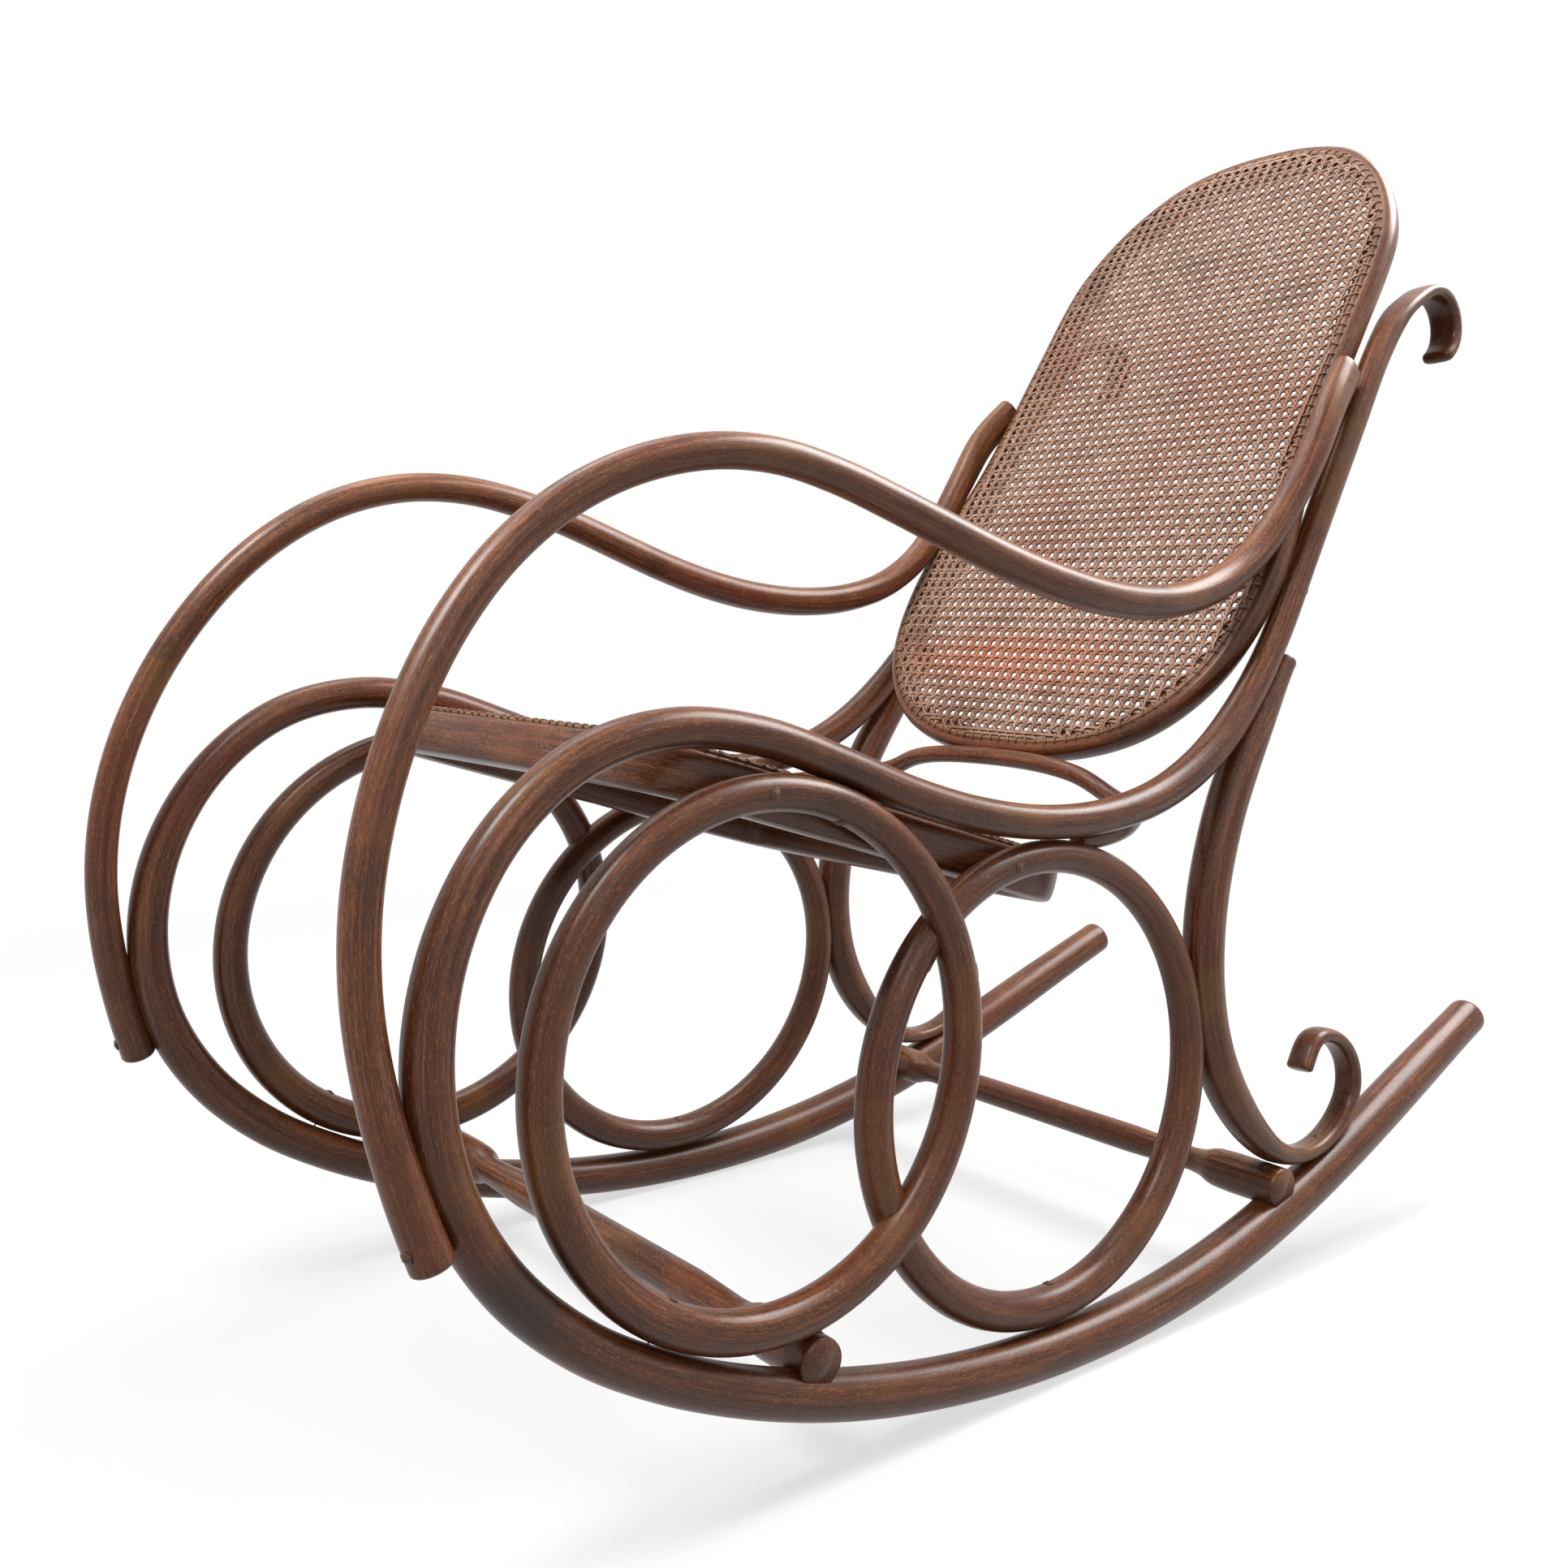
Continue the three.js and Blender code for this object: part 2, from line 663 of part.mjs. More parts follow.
function backParts() {
  const scale = (shares) => shares.map(([a, b]) => [a * railDiameter, b * railDiameter]);
  const section = grooved(scale(railInnerShares), scale(railOuterShares), 0);
  const rail = loft(backStations, () => section, backForward, true);
  const spline = loft(backStations, () => splineSection(0), backForward, true);
  const inset = grooveWidth / 2;
  const edge = backStations.map((station) => {
    const point = station.point.clone();
    point.addScaledVector(outwardAt(station, backForward), -inset);
    return [point.x, point.z];
  });
  const sheet = caneSheet(edge).rotateX(Math.PI / 2).translate(0, -clearance, 0);
  const size = railDiameter + 2 * clearance;
  const outer = [...railInnerShares, ...railOuterShares].map(([a, b]) => (
    [a * size + clearance + (a === 0 ? splineProud : 0), b * size]));
  const cutter = loft(backStations, () => outer, backForward, true);
  return [rail, spline, sheet, cutter]
    .map((geometry) => geometry.applyMatrix4(backGroup.matrixWorld));
}

// Seat group: the band's top face is its plane, and the band is as wide as the sides allow.
const seatGroup = new THREE.Group();
seatGroup.rotation.x = -seatSlope * degree;
seatGroup.position.set(0, seatMiddleY, seatMiddleZ);
seatGroup.updateMatrixWorld(true);

// Half width that the rings and bars leave beside a place along the seat's depth.
function seatHalfWidth(share) {
  const toSeat = seatGroup.matrixWorld.clone().invert();
  let least = Infinity;
  for (const ball of [...barBalls, ...frontRing.balls, ...rearRing.balls]) {
    const point = ball.point.clone().applyMatrix4(toSeat);
    const over = Math.max(0, point.z, -seatBandHeight - point.z);
    const beside = Math.abs(point.y - share * seatDepth) < seatContactReach;
    if (beside && over < ball.radius) {
      least = Math.min(least, point.x - Math.sqrt(ball.radius ** 2 - over ** 2));
    }
  }
  return least - clearance + seatBite;
}

function seatParts() {
  const widthAt = (share) => THREE.MathUtils.mapLinear(share, seatFrontContactShare,
    seatRearContactShare, seatHalfWidth(seatFrontContactShare),
    seatHalfWidth(seatRearContactShare));
  const upward = new THREE.Vector3(0, 0, 1);
  const outline = mirroredOutline(seatShares.map(([x, y]) => [x * widthAt(y), y * seatDepth]));
  const rim = stationsRound(outline.map(([x, y]) => new THREE.Vector3(x, y, 0)), seatSteps);
  const half = seatBandWidth / 2;
  const round = seatBandRounding;
  const stations = rim.map((station) => ({
    tangent: station.tangent,
    point: station.point.clone().addScaledVector(outwardAt(station, upward), -half),
  }));
  const section = grooved(
    [[-seatBandHeight, -half + round], [-seatBandHeight + round, -half], [-round, -half],
      [0, -half + round]],
    [[0, half - round], [-round, half], [-seatBandHeight + round, half],
      [-seatBandHeight, half - round]],
    seatGrooveOffset,
  );
  const band = loft(stations, () => section, upward, true);
  const spline = loft(stations, () => splineSection(seatGrooveOffset), upward, true);
  const inset = grooveWidth / 2 - seatGrooveOffset;
  const edge = stations.map((station) => {
    const point = station.point.clone();
    point.addScaledVector(outwardAt(station, upward), -inset);
    return [point.x, point.y];
  });
  const sheet = caneSheet(edge).translate(0, 0, clearance);
  return [band, spline, sheet].map((geometry) => geometry.applyMatrix4(seatGroup.matrixWorld));
}

// Turned stretcher: a barrel at each end, a thin waist and a fuller rod between, its axis
// across the chair at a height where the barrels sink into the runners.
function stretcher(share, waistDiameter, middleDiameter) {
  const y = share * sideReach;
  const ball = runnerBalls.reduce((one, other) => (
    Math.abs(other.point.y - y) < Math.abs(one.point.y - y) ? other : one));
  const next = runnerBalls[runnerBalls.indexOf(ball) + 1];
  const along = next.point.clone().sub(ball.point).setComponent(0, 0).normalize();
  const normal = new THREE.Vector3(0, -along.z, along.y);
  const rise = ball.radius + stretcherBarrelDiameter / 2 - stretcherSink;
  const axis = ball.point.clone().addScaledVector(normal, rise);
  const end = ball.point.x + stretcherOverhang;
  const half = [new THREE.Vector2(0, end)];
  for (const [along01, wide] of barrelShares) {
    half.push(new THREE.Vector2((wide * stretcherBarrelDiameter) / 2, end - along01 * barrelLength));
  }
  half.push(new THREE.Vector2(waistDiameter / 2, end - waistEnd));
  half.push(new THREE.Vector2(middleDiameter / 2, end * fullEndShare));
  half.push(new THREE.Vector2(middleDiameter / 2, 0));
  const other = half.slice(0, -1).reverse().map((point) => new THREE.Vector2(point.x, -point.y));
  const geometry = new THREE.LatheGeometry([...half, ...other].reverse(), turnedSides);
  geometry.rotateZ(-Math.PI / 2).translate(0, axis.y, axis.z);
  const barrelBall = { point: axis, radius: stretcherBarrelDiameter / 2 };
  return { solid: toSolid(geometry), barrelBall, runnerBall: ball };
}

// Cross hoop under the back: its middle bears on the back's rail and its ends on the bars.
function crossHoop() {
  const bottom = backStations[0].point.clone().applyMatrix4(backGroup.matrixWorld);
  const half = hoopShares.map(([x, y, z]) => (
    new THREE.Vector3(x * floorHalfWidth, bottom.y + y * sideReach, bottom.z + z * sideRise)));
  const sections = [[0, hoopDiameter, hoopDiameter, 1], [half.length, hoopDiameter, hoopDiameter,
    1]];
  const seats = [
    { index: 0, balls: backRailBalls },
    { index: half.length - 1, balls: barBalls },
  ];
  const seated = sprung(half, sections, seats, []);
  seated[0].x = 0;
  const other = seated.slice(1).reverse().map((point) => new THREE.Vector3(-point.x, point.y,
    point.z));
  return bentRod([...other, ...seated], sections, new THREE.Vector3(0, 0, 1), thinSides);
}

// Arm: its front end bears on the loop and its rear end on the back's rail.
function arm() {
  const points = armShares.map(([x, y, z]) => (
    new THREE.Vector3(x * floorHalfWidth, y * sideReach, z * sideRise)));
  const seats = [
    { index: 0, balls: bend.balls.filter((ball) => ball.index > loopStart) },
    { index: points.length - 1, balls: backRailBalls },
  ];
  return bentRod(sprung(points, armSections, seats, armHeldPoints), armSections, acrossChair,
    rodSides);
}

// S-shaped leg: it bears on the post above, on the rear ring and on the runner.
function rearLeg() {
  const points = legShares.map((shares) => onSide(...shares));
  const seats = [
    { index: legTopPoint, balls: barBalls },
    { index: legRingPoint, balls: rearRing.balls },
    { index: legFootPoint, balls: runnerBalls },
  ];
  return bentRod(sprung(points, legSections, seats, [points.length - 1]), legSections, acrossSide,
    rodSides);
}

const shave = new THREE.BoxGeometry(cutterRoom, 2 * sideReach, cutterRoom);
shave.translate(floorHalfWidth, 0, runnerBottom + runnerFlatDepth - cutterRoom / 2);

const hoop = crossHoop();
const leftArm = arm();
const leftLeg = rearLeg();
const [rail, backSpline, backCane, grownRail] = backParts();
const [band, seatSpline, seatCane] = seatParts();
const frontStretcher = stretcher(frontStretcherShare, frontWaistDiameter, frontMiddleDiameter);
const rearStretcher = stretcher(rearStretcherShare, rearRodDiameter, rearRodDiameter);

// A screw's turned outline from its domed head to its tip, grown where it is a cutter.
function screwShape(reach, more) {
  const head = screwHeadDiameter / 2 + more;
  const shank = screwShankDiameter / 2 + more;
  const profile = [
    [0, -screwHeadHeight - more], [head, -screwRimHeight - more], [head, more], [shank, more],
    [0, reach + more],
  ];
  return new THREE.LatheGeometry(profile.map(([x, y]) => new THREE.Vector2(x, y)), screwSides);
}

// Sets a screw's head in the skin of one rod and drives its tip into the next.
function driveScrew(ball, direction) {
  const reach = 2 * ball.radius - screwSink + screwGrip;
  const turn = new THREE.Quaternion().setFromUnitVectors(new THREE.Vector3(0, 1, 0), direction);
  const base = ball.point.clone().addScaledVector(direction, screwSink - ball.radius);
  const placed = (more) => screwShape(reach, more).applyQuaternion(turn)
    .translate(base.x, base.y, base.z);
  return { screw: placed(0), cutter: placed(clearance) };
}

function between(ball, other) {
  return driveScrew(ball, other.point.clone().sub(ball.point).normalize());
}

function ballAt(rod, index) {
  return rod.balls.reduce((one, other) => (
    Math.abs(other.index - index) < Math.abs(one.index - index) ? other : one));
}

// The ball of a rod that comes nearest to another rod.
function touching(balls, others) {
  let best = balls[0];
  let least = Infinity;
  for (const ball of balls) {
    const gap = leastGap([ball], others);
    if (gap < least) {
      least = gap;
      best = ball;
    }
  }
  return best;
}

function pairScrew(balls, others) {
  const ball = touching(balls, others);
  return between(ball, nearestBall(ball.point, others));
}

function rodScrew(rod, index, others) {
  const ball = ballAt(rod, index);
  return between(ball, nearestBall(ball.point, others));
}

// A screw from outside through a ring into the seat's band, some steps round from its top.
function seatScrew(ring, step) {
  const inward = acrossSide.clone().negate();
  return driveScrew(ring.balls[ringSteps / 4 + step], inward);
}

const screws = {
  arm_front: rodScrew(leftArm, armFrontScrewPoint, bend.balls),
  arm_rear: rodScrew(leftArm, armRearScrewPoint, backRailBalls),
  back: pairScrew(barBalls, backRailBalls),
  hoop: rodScrew(hoop, hoop.points.length - 1 - hoopScrewInset, barBalls),
  seat_front: seatScrew(frontRing, 0),
  seat_rear: seatScrew(rearRing, seatScrewSteps),
  leg_top: rodScrew(leftLeg, legTopPoint, barBalls),
  leg_foot: rodScrew(leftLeg, legFootPoint, runnerBalls),
  front_ring_top: pairScrew(frontRing.balls, barBalls),
  front_ring_foot: pairScrew(frontRing.balls, runnerBalls),
  rear_ring_top: pairScrew(rearRing.balls, barBalls),
  rear_ring_foot: pairScrew(rearRing.balls, runnerBalls),
  front_stretcher: between(frontStretcher.barrelBall, frontStretcher.runnerBall),
  rear_stretcher: between(rearStretcher.barrelBall, rearStretcher.runnerBall),
};

const screwCutter = toSolid(mergeGeometries(Object.values(screws).map(({ cutter }) => (
  cutter.toNonIndexed()))));

function bothSides(solid, cutter) {
  return solid.subtract(cutter).subtract(toSolid(mirrored(toGeometry(cutter))));
}

const bendCutter = bend.grown(clearance);
const frontRingCutter = frontRing.grown(clearance);
const rearRingCutter = rearRing.grown(clearance);
const hoopCutter = hoop.grown(clearance);
const railCutter = toSolid(grownRail);

const sideSolids = {
  main_bend: bend.grown(0).subtract(toSolid(shave)),
  front_ring: frontRing.grown(0).subtract(rearRingCutter.intersect(halfSpace(-1))),
  rear_ring: rearRing.grown(0).subtract(frontRingCutter.intersect(halfSpace(1))),
  arm: leftArm.grown(0).subtract(bendCutter).subtract(railCutter),
  rear_s_leg: leftLeg.grown(0).subtract(bendCutter).subtract(rearRingCutter),
};
for (const [name, solid] of Object.entries(sideSolids)) {
  const geometry = toGeometry(solid.subtract(screwCutter));
  addMesh(leftSide, `left_${name}`, geometry, name === 'arm' ? paleWood : wood);
  addMesh(rightSide, `right_${name}`, mirrored(geometry), name === 'arm' ? paleWood : wood);
}
for (const [name, { screw }] of Object.entries(screws)) {
  const geometry = toGeometry(toSolid(screw));
  addMesh(leftSide, `left_${name}_screw`, geometry, steel);
  addMesh(rightSide, `right_${name}_screw`, mirrored(geometry), steel);
}

const middleSolids = {
  back_frame: [toSolid(rail), backGroup, bendCutter],
  seat_ring: [toSolid(band).subtract(hoopCutter), seatGroup, bendCutter, frontRingCutter,
    rearRingCutter],
  rear_hoop: [hoop.grown(0).subtract(railCutter), chair, bendCutter, rearRingCutter],
  front_stretcher: [frontStretcher.solid, chair, bendCutter],
  rear_stretcher: [rearStretcher.solid, chair, bendCutter],
};
for (const [name, [solid, group, ...cutters]] of Object.entries(middleSolids)) {
  const cut = [...cutters, screwCutter].reduce(bothSides, solid);
  addMesh(group, name, toGeometry(cut), wood);
}
addMesh(backGroup, 'back_spline', backSpline, reed);
addMesh(backGroup, 'back_cane', backCane, cane);
addMesh(seatGroup, 'seat_spline', seatSpline, reed);
addMesh(seatGroup, 'seat_cane', seatCane, cane);

chair.add(leftSide, rightSide, backGroup, seatGroup);
const box = new THREE.Box3().setFromObject(chair, true);
chair.position.set(-(box.min.x + box.max.x) / 2, -(box.min.y + box.max.y) / 2, -box.min.z);

export default chair;
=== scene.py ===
import bpy
import numpy as np
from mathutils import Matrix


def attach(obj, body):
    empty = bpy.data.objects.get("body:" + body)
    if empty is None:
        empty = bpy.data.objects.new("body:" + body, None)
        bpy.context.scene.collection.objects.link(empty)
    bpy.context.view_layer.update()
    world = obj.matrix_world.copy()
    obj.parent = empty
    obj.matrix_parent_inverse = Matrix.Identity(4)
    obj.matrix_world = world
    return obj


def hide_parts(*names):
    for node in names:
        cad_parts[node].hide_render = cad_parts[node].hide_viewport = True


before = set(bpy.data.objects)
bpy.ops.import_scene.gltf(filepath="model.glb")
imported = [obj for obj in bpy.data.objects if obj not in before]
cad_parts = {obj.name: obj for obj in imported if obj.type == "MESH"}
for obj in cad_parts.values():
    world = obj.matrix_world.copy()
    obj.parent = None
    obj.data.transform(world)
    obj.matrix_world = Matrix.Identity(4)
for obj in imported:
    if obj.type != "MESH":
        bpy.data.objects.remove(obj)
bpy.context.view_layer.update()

mm = 0.001

# A path's curve: its step and softening in mm, and counts.
curve = {"step": 2.0, "soften": 6.0, "samples": 40, "fewestSteps": 8, "softenReach": 3}


# A centripetal curve through points: from b to c it is b + leave * t
# + (3 (c - b) - 2 leave - reach) * t^2 + (2 (b - c) + leave + reach) * t^3. It is set out in
# even steps and softened by a bell curve. Gives its points, how far along the list of
# points each of them comes, and the run to it.
def smoothPath(points, closed=False, step=curve["step"], soften=curve["soften"]):
    points = np.asarray(points, float)
    if closed:
        around = np.vstack([points[-1:], points, points[:2]])
    else:
        around = np.vstack([2 * points[0] - points[1], points, 2 * points[-1] - points[-2]])
    spans = len(around) - 3
    gaps = np.sqrt(np.linalg.norm(np.diff(around, axis=0), axis=1))
    share = np.linspace(0, 1, curve["samples"], endpoint=False)[:, None]
    a, b, c, d = (around[k:k + spans, None, :] for k in range(4))
    before, here, after = (gaps[k:k + spans, None, None] for k in range(3))
    leave = ((b - a) / before - (c - a) / (before + here) + (c - b) / here) * here
    reach = ((c - b) / here - (d - b) / (here + after) + (d - c) / after) * here
    dense = (b + leave * share + (3 * (c - b) - 2 * leave - reach) * share ** 2
             + (2 * (b - c) + leave + reach) * share ** 3)
    dense = np.vstack([dense.reshape(-1, points.shape[1]), points[:1] if closed else points[-1:]])
    index = np.append((np.arange(spans)[:, None] + share.T).ravel(), spans)
    run = np.append(0, np.cumsum(np.linalg.norm(np.diff(dense, axis=0), axis=1)))
    even = np.linspace(0, run[-1], max(curve["fewestSteps"], int(run[-1] / step)) + 1)
    path = np.stack([np.interp(even, run, column) for column in dense.T], 1)
    tail = max(1, int(curve["softenReach"] * soften / step))
    weights = np.exp(-0.5 * (np.arange(-tail, tail + 1) * step / soften) ** 2)
    weights /= weights.sum()
    if closed:
        wide = np.vstack([path[-tail - 1:-1], path, path[1:tail + 1]])
    else:
        wide = np.vstack([2 * path[0] - path[tail:0:-1], path, 2 * path[-1] - path[-2:-tail - 2:-1]])
    path = np.stack([np.convolve(column, weights, "valid") for column in wide.T], 1)
    return path, np.interp(even, run, index), even


# Width, thickness and squareness between the rows of a table, whose first column is the
# number of a path's point: with t the share from one row to the next, t^2 (3 - 2 t) of it.
def sizesAt(table, index):
    table = np.asarray(table, float)
    place = np.clip(index, table[0, 0], table[-1, 0])
    row = np.clip(np.searchsorted(table[:, 0], place, "right") - 1, 0, len(table) - 2)
    share = (place - table[row, 0]) / (table[row + 1, 0] - table[row, 0])
    share = (share * share * (3 - 2 * share))[:, None]
    return table[row, 1:] * (1 - share) + table[row + 1, 1:] * share


# Corners of a superellipse, half a size from its middle less the inset:
# across = |cos|^squareness, along = |sin|^squareness.
def rodCorners(sizes, sides, inset=0.0):
    turn = (np.arange(sides) + 0.5) / sides * 2 * np.pi
    power = sizes[:, 2:3]
    across = np.sign(np.cos(turn)) * np.abs(np.cos(turn)) ** power
    along = np.sign(np.sin(turn)) * np.abs(np.sin(turn)) ** power
    halves = sizes[:, :2] / 2 - np.reshape(inset, (-1, 1))
    return np.stack([across * halves[:, 0:1], along * halves[:, 1:2]], 2)


# A closed outline with its corners cut off twice, a quarter from each end of every edge.
def rounded(outline, times=2, cut=0.25):
    corners = np.asarray(outline, float)
    for _ in range(times):
        after = np.roll(corners, -1, axis=0)
        corners = np.stack([(1 - cut) * corners + cut * after, cut * corners + (1 - cut) * after], 1)
        corners = corners.reshape(-1, 2)
    return corners


# A section carried along a path: corner = point + a * first + b * second, where first is
# the across axis squared up to the path and second is the path's direction x first.
def swept(path, direction, across, corners):
    across = np.asarray(across, float)
    first = across - direction * (direction @ across)[:, None]
    first /= np.linalg.norm(first, axis=1)[:, None]
    second = np.cross(direction, first)
    return (path[:, None, :] + corners[..., 0:1] * first[:, None, :]
            + corners[..., 1:2] * second[:, None, :])


# The way a path heads at each point: from the point before to the one after, made one long.
def directionOf(path, closed):
    if closed:
        heading = np.roll(path, -1, axis=0) - np.roll(path, 1, axis=0)
    else:
        heading = np.gradient(path, axis=0)
    return heading / np.linalg.norm(heading, axis=1)[:, None]


# The run along a closed path, the sum of its steps, from its first point round to it again.
def closedRun(path):
    return np.append(0, np.cumsum(np.linalg.norm(path - np.roll(path, -1, axis=0), axis=1)))


# Quads between neighbouring rows of a grid: a point's number is its row * sides + its side.
def gridFaces(rows, sides, closed):
    row = np.arange(rows if closed else rows - 1)[:, None]
    side = np.arange(sides)[None, :]
    here, there = row * sides, ((row + 1) % rows) * sides
    after = (side + 1) % sides
    return np.stack([here + side, here + after, there + after, there + side], 2).reshape(-1, 4)


# One grid's points, its faces as point numbers, and the grain at each face's corners. The
# grain is the straightened place: across, along the thickness, and the run along the rod.
# An open grid's ends are closed by fans of triangles round the mean of each end row.
def gridParts(vertices, corners, run, closed):
    rows, sides = vertices.shape[:2]
    spots = np.concatenate([corners, np.broadcast_to(run[:rows, None, None], (rows, sides, 1))], 2)
    spots = spots.reshape(-1, 3)
    points = vertices.reshape(-1, 3)
    faces = [gridFaces(rows, sides, closed)]
    grain = [spots[faces[0]]]
    if closed:
        grain[0][-sides:, 2:, 2] = run[-1]  # the last row of quads ends at the full length
        return points, faces, grain
    side = np.arange(sides)
    after = (side + 1) % sides
    for end, one, other in ((0, after, side), (1, side, after)):
        first = end * (rows - 1) * sides
        rim = spots[first:first + sides]
        faces.append(np.stack([np.full(sides, len(points) + end), first + one, first + other], 1))
        grain.append(np.stack([np.broadcast_to(rim.mean(0), (sides, 3)), rim[one], rim[other]], 1))
    return np.vstack([points, vertices[[0, -1]].mean(1)]), faces, grain


# Puts a mesh, a lamp or a camera into the scene.
def addObject(name, data):
    added = bpy.data.objects.new(name, data)
    bpy.context.collection.objects.link(added)
    return added


# One mesh from grids of swept points, its grain moved along by a shift. A mirrored piece has
# -x for x, and each face's corners in turn backwards from its first one.
def makePiece(name, grids, slotName, shift=0.0, mirror=False):
    points, faces, grain = [], [], []
    start = 0
    for grid in grids:
        gridPoints, gridCorners, gridGrain = gridParts(*grid)
        points.append(gridPoints)
        faces += [part + start for part in gridCorners]
        grain += gridGrain
        start += len(gridPoints)
    lengths = np.concatenate([np.full(len(part), part.shape[1]) for part in faces]).astype(np.int32)
    starts = np.append(0, np.cumsum(lengths)[:-1]).astype(np.int32)
    points = np.concatenate(points)
    faces = np.concatenate([part.ravel() for part in faces]).astype(np.int32)
    grain = np.concatenate([part.reshape(-1, 3) for part in grain]) + [0, 0, shift]
    if mirror:
        points = points * [-1, 1, 1]
        first, around = np.repeat(starts, lengths), np.repeat(lengths, lengths)
        backwards = first + (around - (np.arange(len(faces)) - first)) % around
        faces, grain = faces[backwards], grain[backwards]
    mesh = bpy.data.meshes.new(name)
    mesh.vertices.add(len(points))
    mesh.vertices.foreach_set("co", (points * mm).astype(np.float32).ravel())
    mesh.loops.add(len(faces))
    mesh.loops.foreach_set("vertex_index", faces)
    mesh.polygons.add(len(lengths))
    mesh.polygons.foreach_set("loop_start", starts)
    mesh.polygons.foreach_set("use_smooth", np.ones(len(lengths), bool))
    attribute = mesh.attributes.new("grain", "FLOAT_VECTOR", "CORNER")
    attribute.data.foreach_set("vector", (grain * mm).astype(np.float32).ravel())
    mesh.update(calc_edges=True)
    mesh.validate()
    piece = addObject(name, mesh)
    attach(piece, "root")
    piece.data.materials.append(finishes[slotName])
    return piece


endTurns = np.radians([90, 66, 44, 22])  # round a rod's end, from its face to its side


# A rod along its path, its ends rounded over: at a turn t round the edge the row lies
# round * (1 - sin t) from the end and is inset by round * (1 - cos t).
def rodGrid(rod):
    path, index, run = smoothPath(rod["path"])
    endRound = rod["endRound"]
    ends = endRound * (1 - np.sin(endTurns))
    insets = endRound * (1 - np.cos(endTurns))
    inner = np.linspace(endRound, run[-1] - endRound, int(run[-1] / rod["spacing"]))
    places = np.concatenate([ends, inner, run[-1] - ends[::-1]])
    insets = np.concatenate([insets, np.zeros(len(inner)), insets[::-1]])
    spots = np.stack([np.interp(places, run, column) for column in path.T], 1)
    heading = np.stack([np.interp(places, run, column) for column in directionOf(path, False).T], 1)
    heading /= np.linalg.norm(heading, axis=1)[:, None]
    sizes = sizesAt(rod["sizes"], np.interp(places, run, index))
    corners = rodCorners(sizes * [rod["fullness"], rod["fullness"], 1], rod["sides"], insets)
    return swept(spots, heading, rod["across"], corners), corners, places, False


# Wraps an output socket, so that arithmetic on it adds Math nodes.
class Wire:
    def __init__(self, recipe, socket):
        self.recipe = recipe
        self.socket = socket

    def maths(self, operation, *values):
        return self.recipe.node("ShaderNodeMath", {"operation": operation}, dict(enumerate(values)))

    def __add__(self, other):
        return self.maths("ADD", self, other)

    def __sub__(self, other):
        return self.maths("SUBTRACT", self, other)

    def __rsub__(self, other):
        return self.maths("SUBTRACT", other, self)

    def __mul__(self, other):
        return self.maths("MULTIPLY", self, other)

    def __abs__(self):
        return self.maths("ABSOLUTE", self)

    __radd__ = __add__
    __rmul__ = __mul__


# One node tree being put together, of a material or of the world.
class Finish:
    def __init__(self, owner):
        owner.use_nodes = True
        self.owner = owner
        self.tree = owner.node_tree

    def node(self, kind, settings=None, values=None, output=0):
        node = self.tree.nodes.new(kind)
        for key, value in (settings or {}).items():
            if key == "stops":
                elements = node.color_ramp.elements
                while len(elements) < len(value):
                    elements.new(0.5)
                for element, (place, colour) in zip(elements, value):
                    element.position = place
                    element.color = (*colour, 1)
            else:
                setattr(node, key, value)
        for key, value in (values or {}).items():
            self.put(node.inputs[key], value)
        return Wire(self, node.outputs[output])

    def put(self, socket, value):
        if isinstance(value, Wire):
            self.tree.links.new(value.socket, socket)
        elif isinstance(value, tuple) and socket.type == "RGBA":
            socket.default_value = (*value, 1)
        else:
            socket.default_value = value

    def shade(self, values, shader="Principled BSDF"):
        for key, value in values.items():
            self.put(self.tree.nodes[shader].inputs[key], value)

    def grain(self):  # the straightened place along a rod or a strand
        return self.node("ShaderNodeAttribute", {"attribute_name": "grain"}, {}, "Vector")

    def place(self):  # the place in the chair
        return self.node("ShaderNodeTexCoord", {}, {}, "Object")

    def ray(self, kind):
        return self.node("ShaderNodeLightPath", {}, {}, kind)

    def vectors(self, operation, first, second):
        return self.node("ShaderNodeVectorMath", {"operation": operation}, {0: first, 1: second})

    def length(self, vector):
        return self.node("ShaderNodeVectorMath", {"operation": "LENGTH"}, {0: vector}, "Value")

    def noise(self, vector, scale, detail, roughness):
        return self.node("ShaderNodeTexNoise", {}, {"Vector": vector, "Scale": scale, "Detail": detail,
                                                    "Roughness": roughness})

    def stretchedNoise(self, vector, stretch, detail, roughness):  # a scale for each way
        return self.noise(self.vectors("MULTIPLY", vector, stretch), 1.0, detail, roughness)

    def bump(self, height, strength, distance):
        return self.node("ShaderNodeBump", {}, {"Strength": strength, "Distance": distance,
                                                "Height": height})

    def mask(self, value, low, high):
        return self.node("ShaderNodeMapRange", {"interpolation_type": "SMOOTHSTEP"},
                         {0: value, 1: low, 2: high})

    def ramp(self, value, stops):
        return self.node("ShaderNodeValToRGB", {"stops": stops}, {0: value})

    def mixed(self, share, first, second):  # 0, 6, 7 and 2 are its factor, colours and result
        return self.node("ShaderNodeMix", {"data_type": "RGBA"}, {0: share, 6: first, 7: second}, 2)


# A colour of the screen, 0 to 255, as light: value / 12.92 where it is dark, and elsewhere
# ((value + 0.055) / 1.055)^2.4.
def linear(red, green, blue):
    values = np.array([red, green, blue]) / 255
    light = np.where(values < 0.04045, values / 12.92, ((values + 0.055) / 1.055) ** 2.4)
    return tuple(float(value) for value in light)


